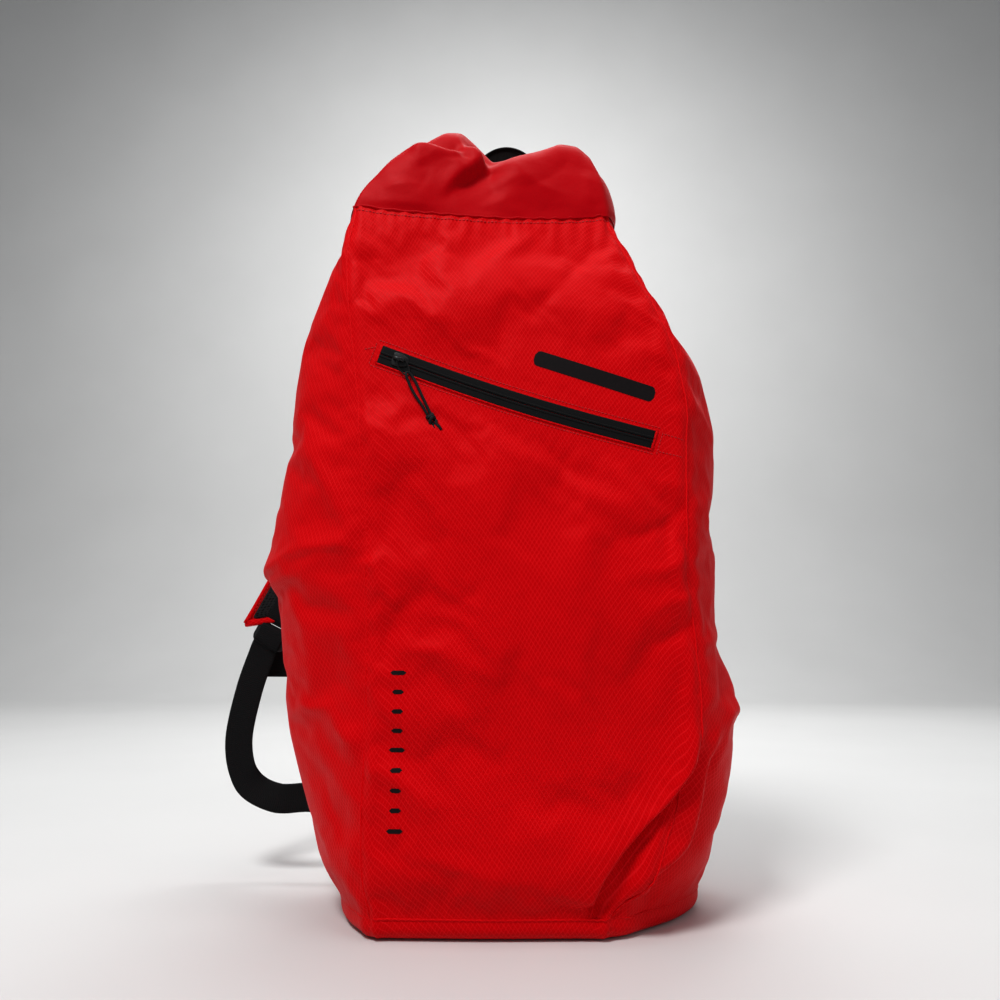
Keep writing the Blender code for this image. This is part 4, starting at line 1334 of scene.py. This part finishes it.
def make_buckle_female(name, place, body, node):
    """A side-release socket: an oval shell with side windows and a mouth."""
    rim = rounded_outline([(-0.0165, -0.0105), (-0.0120, -0.0130), (0.0120, -0.0130), (0.0162, -0.0120),
                           (0.0162, 0.0120), (0.0120, 0.0130), (-0.0120, 0.0130), (-0.0165, 0.0105)], 0.004)
    slot = box_outline(-0.0145, -0.0115, -0.0098, 0.0098, 0.001)
    for out, label in ((0.0032, "front"), (-0.0032, "back")):
        skin = flat_curve(name + "_" + label, [rim, slot], 0.0022, 0.0009, M["plastic"],
                          lambda a, b, c, o=out: place(a, b, c + o))
        ride(skin, body, (node,) if label == "front" else ())
    core = rounded_outline([(-0.0105, -0.0122), (-0.0030, -0.0122), (-0.0030, -0.0070), (0.0150, -0.0050),
                            (0.0150, 0.0050), (-0.0030, 0.0070), (-0.0030, 0.0122), (-0.0105, 0.0122)], 0.001)
    middle = flat_curve(name + "_core", [core], 0.0052, 0.0004, M["plastic"], place)
    ride(middle, body)
    ridge_line = [place(0.004, -0.006, 0.0043), place(0.004, 0.006, 0.0043)]
    ride(sweep(name + "_rib", ridge_line, round_section(0.0014, 0.0004), place(1, 0, 0) - place(0, 0, 0),
               M["plastic"]), body)


def make_buckle_male(name, place, body, node, reach):
    """A side-release plug: base with a webbing bar, two springy arms and a tongue."""
    rim = rounded_outline([
        (0.0004, -0.0122), (0.0060, -0.0130), (0.0245, -0.0125), (0.0245, 0.0125), (0.0060, 0.0130),
        (0.0004, 0.0122), (0.0004, 0.0100), (-reach * 0.45, 0.0104), (-reach * 0.80, 0.0118),
        (-reach, 0.0098), (-reach, 0.0078), (-reach * 0.5, 0.0076), (-0.0010, 0.0066), (-0.0010, 0.0022),
        (-reach + 0.002, 0.0018), (-reach + 0.002, -0.0018), (-0.0010, -0.0022), (-0.0010, -0.0066),
        (-reach * 0.5, -0.0076), (-reach, -0.0078), (-reach, -0.0098), (-reach * 0.80, -0.0118),
        (-reach * 0.45, -0.0104), (0.0004, -0.0100),
    ], 0.0012)
    slot = box_outline(0.0178, 0.0216, -0.0100, 0.0100, 0.0012)
    bar = box_outline(0.0085, 0.0122, -0.0100, 0.0100, 0.0012)
    plug = flat_curve(name, [rim, slot, bar], 0.0044, 0.0008, M["plastic"], place)
    ride(plug, body, (node,))


def make_closure_buckle():
    low_x, high_x = COLLAR_X - 0.0275, COLLAR_X + 0.0050
    middle = (low_x + high_x) / 2
    make_buckle_female("closure_socket", lambda a, b, c: Vector(
        (middle + a, CLOSURE_Y - c, CLOSURE_Z + b)), "roll_top", "closure_buckle_female")
    make_buckle_male("closure_plug", lambda a, b, c: Vector(
        (high_x + a, CLOSURE_Y - c, CLOSURE_Z + b)), "closure_buckle", "closure_buckle_male", 0.0205)


def make_handle():
    """A folded webbing loop standing behind the collar, with its sewn ends."""
    x, y, foot, top, half = -0.006, 0.0185, 0.5560, 0.6500, 0.041
    path = []
    for k in range(49):
        angle = math.pi * k / 48
        path.append(Vector((x - half * math.cos(angle), y,
                            foot + (top - foot) * math.sin(angle) ** 0.7)))
    path[0].z -= 0.006
    path[-1].z -= 0.006
    ribbon("handle_band", path, 0.0100, 0.0014, (0, 1, 0), "handle", ("grab_handle",))
    inner = [point for point in path if point.z > 0.585]
    ribbon("handle_fold", inner, 0.0082, 0.0010, (0, 1, 0), "handle", lift=-0.0020)


# ---------------------------------------------------------------- straps and back

# In millimetres
STRAP_ROUTES = {
    "left": ((-64, 46, 500), (-70, 68, 470), (-86, 86, 430),
             (-112, 93.5, 385), (-148, 94.5, 332), (-185, 93, 278),
             (-214, 90, 222)),
    "right": ((20, 46, 500), (26, 68, 470), (42, 86, 430),
              (62, 93.5, 385), (80, 94.5, 332), (91, 93, 278),
              (96, 90, 222)),
}
LOWER_ROUTES = {
    "left": ((-229.6, 88.5, 191.5), (-240, 88, 156), (-246, 87, 112),
             (-236, 86, 80), (-210, 85, 65.5), (-180, 83, 66),
             (-144, 80, 64)),
    "right": ((97.9, 88.8, 190.5), (101, 88, 156), (108, 87, 118),
              (120, 85, 86), (133, 82, 64)),
}
# How far a strap's end slants over half its width
END_SLANT = {"left": 0.020, "right": 0.0}


def across_and_in(along):
    """The way across a strap that runs along, and the way towards the bag."""
    side = (Vector((1, 0, 0)) - along * along.x).normalized()
    normal = along.cross(side)
    return side, -normal if normal.y > 0 else normal


def strap_slants(side, path):
    """How far the strap's outer edge runs ahead of its middle at each row."""
    left = reversed(distances(path[::-1]))
    return [END_SLANT[side] * float(smoothstep(0.045, 0.0, value)) for value in left]


def strap_sheet(name, path, slants, half, low, high, material, columns=18):
    """A closed cushion along a strap: low and high are its faces towards the bag."""
    verts, uvs = [], []
    marks = distances(path)
    section = [(math.cos(math.pi * k / columns), True) for k in range(columns + 1)]
    section += [(-math.cos(math.pi * k / columns), False) for k in range(1, columns)]
    rows = len(path)
    for i, (point, along) in enumerate(zip(path, directions(path))):
        side, normal = across_and_in(along)
        from_end = min(marks[i], marks[-1] - marks[i])
        end_soft = 1 - 0.75 * math.exp(-(from_end / 0.0035) ** 2)
        for q, is_top in section:
            puff = (1 - abs(q) ** 6) ** 0.5
            ripple = 0.0006 * noise.noise(Vector((marks[i] * 60, q * 2, 4.0))) * puff
            middle = (low + high) / 2
            reach = (high - low) / 2 * puff * end_soft
            out = middle + (reach if is_top else -reach) + ripple
            verts.append(point + side * q * half - along * (q * slants[i]) + normal * out)
    count = len(section)
    faces = grid_faces(rows, count, closed=True) + cap_faces(rows, count)
    for r in range(rows - 1):
        for c in range(count):
            d = (c + 1) % count
            a, b = section[c][0] * half, section[d][0] * half
            shift = 0.0 if section[c][1] else 0.2
            uvs += [(a + shift, marks[r]), (b + shift, marks[r]), (b + shift, marks[r + 1]),
                    (a + shift, marks[r + 1])]
    uvs += [(q * half, 0.0) for q, _ in reversed(section)]
    uvs += [(q * half, marks[-1]) for q, _ in section]
    thing = make_object(name, verts, faces, uvs, material, subdivide=1)
    tidy_normals(thing)
    return thing


def make_strap(side):
    body = "shoulder_" + side
    path = smooth_path(metres(STRAP_ROUTES[side]), 14)
    slants = strap_slants(side, path)
    pad = strap_sheet("strap_pad_" + side, path, slants, STRAP_HALF, -0.0034, 0.0034, M["strap"])
    ride(pad, body, ("shoulder_strap_" + side,))
    lining = strap_sheet("strap_mesh_" + side, path[3:-1], slants[3:-1], 0.0235, 0.0022, 0.0050, M["mesh"])
    ride(lining, body, ("strap_lining_" + side,))
    # Binding along both edges and the slanted end, and its stitches
    along = directions(path)
    frames = [across_and_in(way) for way in along]

    def spot(i, q, out):
        across, normal = frames[i]
        return path[i] + across * (STRAP_HALF * q) - along[i] * (q * slants[i]) + normal * out

    rows = len(path)
    for label, q in (("a", -0.957), ("b", 0.957)):
        edge = [spot(i, q, 0.0006) for i in range(rows)]
        binding = sweep("strap_binding_%s_%s" % (label, side), edge, round_section(0.0022, 0.0037, 0.0020),
                        [f[0] for f in frames], M["strap"])
        ride(binding, body)
    tip = [spot(rows - 1, 0.964 * (k / 8 * 2 - 1), 0.0004) for k in range(9)]
    ride(sweep("strap_end_" + side, tip, round_section(0.0030, 0.0034, 0.0018), tuple(along[-1]),
               M["strap"]), body)
    sewn = []
    for q in (-1, 1):
        sewn.append([spot(i, 0.875 * q, 0.0042) for i in range(3, rows - 2)])
        sewn.append([spot(i, 0.830 * q, -0.0036) for i in range(3, rows - 2)])
    stitches("strap_stitches_" + side, sewn, M["thread"], body)
    return path


def lock_place(path):
    """The ladder-lock's own directions at the strap's end: along, across and towards the bag."""
    end = path[-1]
    along = (path[-1] - path[-6]).normalized()
    across, normal = across_and_in(along)

    def place(a, b, out):
        return end + along * a + across * b + normal * out

    return place, along, across


def make_adjuster(side, path):
    """Ladder-lock, its short webbing loop, and the hanging tail."""
    body = "adjuster_" + side
    place, along, across = lock_place(path)
    rim = rounded_outline([(0.0028, -0.0140), (0.0050, -0.0152), (0.0235, -0.0152), (0.0272, -0.0130),
                           (0.0272, 0.0130), (0.0235, 0.0152), (0.0050, 0.0152), (0.0028, 0.0140)], 0.003)
    holes = [box_outline(0.0066, 0.0112, -0.0124, 0.0124, 0.0012),
             box_outline(0.0156, 0.0212, -0.0124, 0.0124, 0.0012)]
    lock = flat_curve("ladder_plate_" + side, [rim, *holes], 0.0042, 0.0009, M["plastic"], place)
    ride(lock, body, ("ladder_lock_" + side,))
    grip = [place(0.0255, -0.009, -0.0022), place(0.0255, 0.009, -0.0022)]
    ride(sweep("ladder_grip_" + side, grip, round_section(0.0018, 0.0010), tuple(along), M["plastic"]), body)
    loop = smooth_path([place(-0.016, 0, -0.0042), place(0.0010, 0, -0.0038), place(0.0046, 0, -0.0030),
                        place(0.0076, 0, 0.0), place(0.0046, 0, 0.0030), place(0.0010, 0, 0.0044),
                        place(-0.016, 0, 0.0056)], 5)
    ribbon("ladder_loop_" + side, loop, 0.0119, 0.0006, across, body)

    start = path[-1] + along * 0.0125 + Vector((0, 0.0062, 0))
    full = smooth_path([place(0.0098, 0, 0.0010), place(0.0102, 0, -0.0022),
                        start + Vector((0.001, 0.0012, -0.006)), start + Vector((0.002, 0.0035, -0.014)),
                        start + Vector((0.003, 0.0050, -0.028)), start + Vector((0.003, 0.0050, -0.042))], 6)
    ribbon("tail_band_" + side, full, 0.0110, 0.0007, across, body, ("webbing_tail_" + side,))
    hem_path = [full[-1] + Vector((0, 0.0012, 0.012)), full[-1] + Vector((0, 0.0012, 0.0004))]
    ribbon("tail_hem_" + side, hem_path, 0.0108, 0.0007, across, body)


def make_lower_webbing(side, strap_path):
    """From the ladder-lock, over its bars, down and round to the tab at the base."""
    place, _, lock_across = lock_place(strap_path)
    hanging = metres(LOWER_ROUTES[side])
    route = [place(0.0096, 0, -0.0012), place(0.0100, 0, 0.0020), place(0.0122, 0, 0.0042),
             place(0.0190, 0, 0.0046), place(0.0262, 0, 0.0042), *hanging]
    path = smooth_path(route, 10)
    across = []
    for along in directions(path):
        level = along.cross(Vector((0, 1, 0)))
        across.append(level.normalized() if level.length > 0.75 else lock_across.copy())
    if side == "left":
        # The band tips over where it turns back to the base
        for i, point in enumerate(path):
            tip = float(smoothstep(0.090, 0.066, point.z)) * float(smoothstep(-0.190, -0.225, point.x))
            across[i] = (across[i] + Vector((0, 0.5 * tip, 0))).normalized()
    band = sweep("lower_band_" + side, path, webbing_section(0.01225, 0.0008), across, M["webbing"])
    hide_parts("lower_webbing_" + side)
    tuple(hanging[-1])
    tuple(hanging[0])
    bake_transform(band)


def make_anchor(side):
    sign = -1 if side == "left" else 1
    low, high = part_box("anchor_tab_" + side)
    middle_z = (low.z + high.z) / 2
    half = (high.z - low.z) / 2
    inner_x, outer_x = (low.x, high.x) if sign > 0 else (high.x, low.x)
    path = [Vector((inner_x - sign * 0.006 + (outer_x - inner_x + sign * 0.006) * k / 10, 0.0781, middle_z))
            for k in range(11)]
    tab = sweep("anchor_cloth_" + side, path, webbing_section(half - 0.001, 0.0012), (0, 0, 1), M["strap"])
    ride(tab, "sack", ("anchor_tab_" + side,))


def make_sternum(side):
    """A clip on the strap, a short webbing and half a buckle."""
    body = "sternum_" + side
    coarse = smooth_path(metres(STRAP_ROUTES[side]), 3)
    point = coarse[9]
    along = directions(coarse)[9]
    across, inward = across_and_in(along)

    def place(a, b, out):
        return point + along * a + across * b - inward * out

    rim = box_outline(-0.0062, 0.0062, -0.0132, 0.0132, 0.0030)
    hole = box_outline(-0.0022, 0.0022, -0.0100, 0.0100, 0.0010)
    clip = flat_curve("sternum_plate_" + side, [rim, hole], 0.0036, 0.0009, M["plastic"],
                      lambda a, b, c: place(a, b, c + 0.0066))
    ride(clip, body, ("sternum_clip_" + side,))
    y = point.y + 0.0128
    top = Vector((point.x, y, point.z + 0.004))
    length = 0.075
    web = smooth_path([place(0.0, 0, 0.0064), *(top + Vector(drop) for drop in (
        (0, 0.0004, 0.003), (0, 0.0008, -0.006), (0.0004, 0.0010, -length / 2),
        (0, 0.0006, -length - 0.004)))], 8)
    ribbon("sternum_band_" + side, web, 0.0095, 0.0008, (1, 0, 0), body, ("sternum_webbing_" + side,))
    mouth = top + Vector((0, 0.0006, -length - 0.0004))
    if side == "left":
        make_buckle_female("sternum_socket",
                           lambda a, b, c: mouth + Vector((b, c, -0.0165 - a)), body, "sternum_buckle_female")
    else:
        make_buckle_male("sternum_plug", lambda a, b, c: mouth + Vector((b, c, -0.0250 + a)),
                         body, "sternum_buckle_male", 0.0215)


def make_back_pad():
    """Padding on the back, in mesh over foam, quilted by crossing channels."""
    rows, columns = 120, 60
    low_z, high_z, half = 0.045, 0.462, 0.108
    points = np.zeros((rows, columns, 3))
    puff = np.zeros((rows, columns))
    for r in range(rows):
        z = low_z + (high_z - low_z) * r / (rows - 1)
        _, _, _, _, _, _, _, yb = measures(np.array([z]))
        middle = float(np.interp(z, (0.0, 0.27, 0.39, 0.47), (0.002, -0.004, -0.006, -0.018)))
        for c in range(columns):
            q = c / (columns - 1) * 2 - 1
            from_edge = min(half * (1 - abs(q)), z - low_z, high_z - z)
            rim = math.sin(min(1.0, from_edge / 0.012) * math.pi / 2) ** 0.7
            channels = 1.0
            for line in (0.150, 0.250, 0.350):
                channels *= 1 - 0.85 * math.exp(-((z - line - 0.018 * abs(q)) / 0.0048) ** 2)
            channels *= 1 - 0.85 * math.exp(-((q * half) / 0.0050) ** 2)
            puff[r, c] = 0.0012 + rim * (0.0012 + 0.0062 * channels)
            points[r, c] = (middle + q * half, float(yb[0]) + 0.0018 + puff[r, c], z)
    verts = points.reshape(-1, 3)
    faces = [tuple(reversed(f)) for f in grid_faces(rows, columns)]
    pad = make_object("back_pad", verts, faces, flat_uvs(verts, faces), M["mesh"], subdivide=1)
    thicken(pad, "foam", 0.0012, -1.0)
    ride(pad, "sack", ("back_padding",))
    rim = [*points[0], *points[1:, -1], *points[-1, -2::-1], *points[-2:0:-1, 0]]
    path = [Vector(p) for p in rim[::2]]
    binding = tube("back_pad_binding", path, 0.0021, M["webbing"], sides=10, closed_path=True)
    ride(binding, "sack")


def make_yoke():
    """The cloth that covers the straps' upper ends, sewn across the back."""
    rows, columns = 26, 60
    verts = []
    for r in range(rows):
        z = 0.452 + (0.520 - 0.452) * r / (rows - 1)
        yb = float(measures(np.array([z]))[7][0])
        for c in range(columns):
            q = c / (columns - 1) * 2 - 1
            x = COLLAR_X + 0.002 + q * 0.078
            over = sum(math.exp(-((x - sx) / 0.030) ** 6) for sx in (-0.066, 0.022))
            lift = 0.0050 * over * math.exp(-((z - 0.480) / 0.030) ** 2)
            verts.append(Vector((x, yb + 0.0046 + lift + 0.0004 * math.sin(x * 400) * math.sin(z * 300), z)))
    faces = [tuple(reversed(f)) for f in grid_faces(rows, columns)]
    yoke = make_object("yoke_cloth", verts, faces, flat_uvs(verts, faces), M["strap"], subdivide=1)
    thicken(yoke, "cloth", 0.0012, -1.0)
    ride(yoke, "sack", ("strap_yoke",))
    edges = []
    for r in (2, 4, rows - 3, rows - 5):
        edges.append([verts[r * columns + c] + Vector((0, 0.0003, 0)) for c in range(2, columns - 2)])
    stitches("yoke_stitches", edges, M["black_thread"], "sack")


# ---------------------------------------------------------------- prints and seams


def print_strip(name, tree, a, b, half):
    """A printed bar from (x, z) point a to b, laid on the cloth."""
    (ax, az), (bx, bz) = a, b
    along = Vector((bx - ax, 0, bz - az))
    length = along.length
    along.normalize()
    up = Vector((-along.z, 0, along.x))
    rows, columns = max(6, int(length / 0.0016)), max(5, int(half * 2 / 0.0014) | 1)
    verts = []
    corner = min(half, 0.004)
    for r in range(rows):
        s = r / (rows - 1) * length
        reach = half
        near = min(s, length - s)
        if near < corner:
            reach = half - corner + math.sqrt(max(0.0, corner ** 2 - (corner - near) ** 2))
        for c in range(columns):
            q = c / (columns - 1) * 2 - 1
            spot = Vector((ax, 0, az)) + along * s + up * (q * reach)
            verts.append(on_front(tree, spot.x, spot.z, 0.00022))
    faces = grid_faces(rows, columns)
    return make_object(name, verts, faces, flat_uvs(verts, faces), M["ink"])


def make_prints(tree):
    """Plain printed shapes: a bar above the zipper and a column of ticks."""
    ride(print_strip("print_bar", tree, *PRINT_BAR, 0.0062), "sack")
    for index in range(9):
        z = 0.178 - 0.0132 * index
        width = 0.0058 if index % 4 == 0 else 0.0042
        ride(print_strip("print_tick_%d" % index, tree, (-0.084 - width, z), (-0.084 + width, z), 0.0015),
             "sack")


def make_seams(points, panels):
    """Corner seams as thin sewn ridges, and the stitches under the collar."""
    starts = np.nonzero(np.diff(np.concatenate([[panels[-1]], panels])))[0]
    middle = np.array((-0.005, 0.0, 0.0))
    for name, column in zip(("front_left", "front_right", "back_right", "back_left"), starts):
        line = points[:, column].copy()
        away = line - middle
        away[:, 2] = 0
        away /= np.linalg.norm(away, axis=1, keepdims=True)
        line = line + away * 0.0002
        path = [Vector(p) for p in line[::2]]
        seam = sweep("seam_" + name, path, round_section(0.0008, 0.0008), [Vector(a) for a in away[::2]],
                     M["ripstop"])
        ride(seam, "sack")
    base = [Vector(p) for p in points[0][::2]]
    ride(tube("seam_base", base, 0.0009, M["ripstop"], sides=8, closed_path=True), "sack")

    # Collar seam: a fold of cloth all round, with a row of stitches below it
    top = [Vector(p) for p in points[-1][::2]]
    ride(tube("seam_collar", top, 0.0011, M["collar"], sides=8, closed_path=True), "sack")
    below = [Vector(p + n * 0.0003) for p, n in zip(points[-2], grid_normals(points)[-2])]
    stitches("collar_stitches", [[*below, below[0]]], M["thread"], "sack", 0.0030, 0.0021,
             0.0003)


# ---------------------------------------------------------------- stage


def make_stage():
    """A pale floor that turns up into a wall, soft lamps, and the camera."""
    floor_material = Nodes("floor")
    tone = floor_material.noise(3.0, 3.0)
    shown = floor_material.mix(tone, (0.63, 0.63, 0.625), (0.68, 0.68, 0.675))
    floor_material.set(Base_Color=shown, Roughness=0.75)
    bend_y, bend_radius, half_wide, steps = 2.2, 0.9, 16.0, 12
    profile = [(-12.0, 0.0), (bend_y, 0.0)]
    for k in range(1, steps + 1):
        angle = math.pi / 2 * k / steps
        profile.append((bend_y + bend_radius * math.sin(angle), bend_radius - bend_radius * math.cos(angle)))
    profile.append((bend_y + bend_radius, 6.0))
    verts = [(x, y, z) for y, z in profile for x in (-half_wide, half_wide)]
    faces = [(r * 2, r * 2 + 1, r * 2 + 3, r * 2 + 2) for r in range(len(profile) - 1)]
    floor = make_object("floor", verts, faces, grid_uvs((0, 1), range(len(profile))),
                        floor_material.material)

    world = bpy.data.worlds.new("studio")
    world.use_nodes = True
    background = world.node_tree.nodes["Background"]
    background.inputs[0].default_value = (0.95, 0.97, 1.0, 1.0)
    background.inputs[1].default_value = 0.24
    bpy.context.scene.world = world
    for name, place, aim, size, power in (
        ("key", (-0.65, -1.15, 2.0), (0, 0, 0.33), 0.55, 38.0),
        ("top", (0.20, -0.1, 2.3), (0, 0, 0.3), 1.3, 12.0),
        ("fill", (1.8, -0.8, 1.0), (0, 0, 0.25), 1.5, 5.0),
        ("rear", (0.5, 1.6, 1.7), (0, 0, 0.30), 1.4, 8.0),
        ("wall", (0.0, 0.9, 2.6), (0, 3.1, 1.1), 1.5, 58.0),
    ):
        light = bpy.data.lights.new(name, "AREA")
        light.energy = power
        light.size = size
        lamp = add_object(name, light)
        lamp.location = place
        lamp.rotation_mode = "QUATERNION"
        lamp.rotation_quaternion = (Vector(aim) - Vector(place)).to_track_quat("-Z", "Y")

    bpy.context.scene.view_settings.view_transform = "Standard"
    bpy.context.scene.view_settings.gamma = 0.88
    # Eye level with the lower part of the pack, tipped slightly up
    camera = bpy.data.cameras.new("camera")
    camera.lens = 28.0
    camera.sensor_width = 36.0
    camera.clip_start = 0.01
    eye = add_object("camera", camera)
    eye.location = (-0.012, -0.638, 0.196)
    eye.rotation_euler = (math.radians(90 + 10.7), 0, 0)
    bpy.context.scene.camera = eye


def dress_hidden_nodes():
    """The stiff pieces inside the sack keep their own shapes."""
    for node, material, slot in (
        ("frame_sheet", M["sheet"], "sheet_plastic"), ("frame_sleeve", M["lining"], "lining_black"),
        ("closure_stiffener", M["sheet"], "sheet_plastic"), ("pocket_lining", M["pocket"], "pocket_red"),
    ):
        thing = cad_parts[node]
        thing.data.materials.clear()
        thing.data.materials.append(material)
        if "cloth" not in thing.data.uv_layers:
            layer = thing.data.uv_layers.new(name="cloth")
            for loop in thing.data.loops:
                co = thing.data.vertices[loop.vertex_index].co
                layer.data[loop.index].uv = (co.x, co.z)


def main():
    """Build every piece. The zipper, prints and seams lie on the finished cloth."""
    shell, points, panels = make_shell()
    bpy.context.view_layer.update()
    tree = surface_tree(shell)
    make_zipper(tree)
    make_slider()
    make_puller()
    make_collar()
    make_roll_ends()
    make_closure_buckle()
    make_handle()
    for side in ("left", "right"):
        path = make_strap(side)
        make_adjuster(side, path)
        make_lower_webbing(side, path)
        make_anchor(side)
        make_sternum(side)
    make_back_pad()
    make_yoke()
    make_prints(tree)
    make_seams(points, panels)
    dress_hidden_nodes()
    make_stage()


main()
bpy.context.view_layer.update()
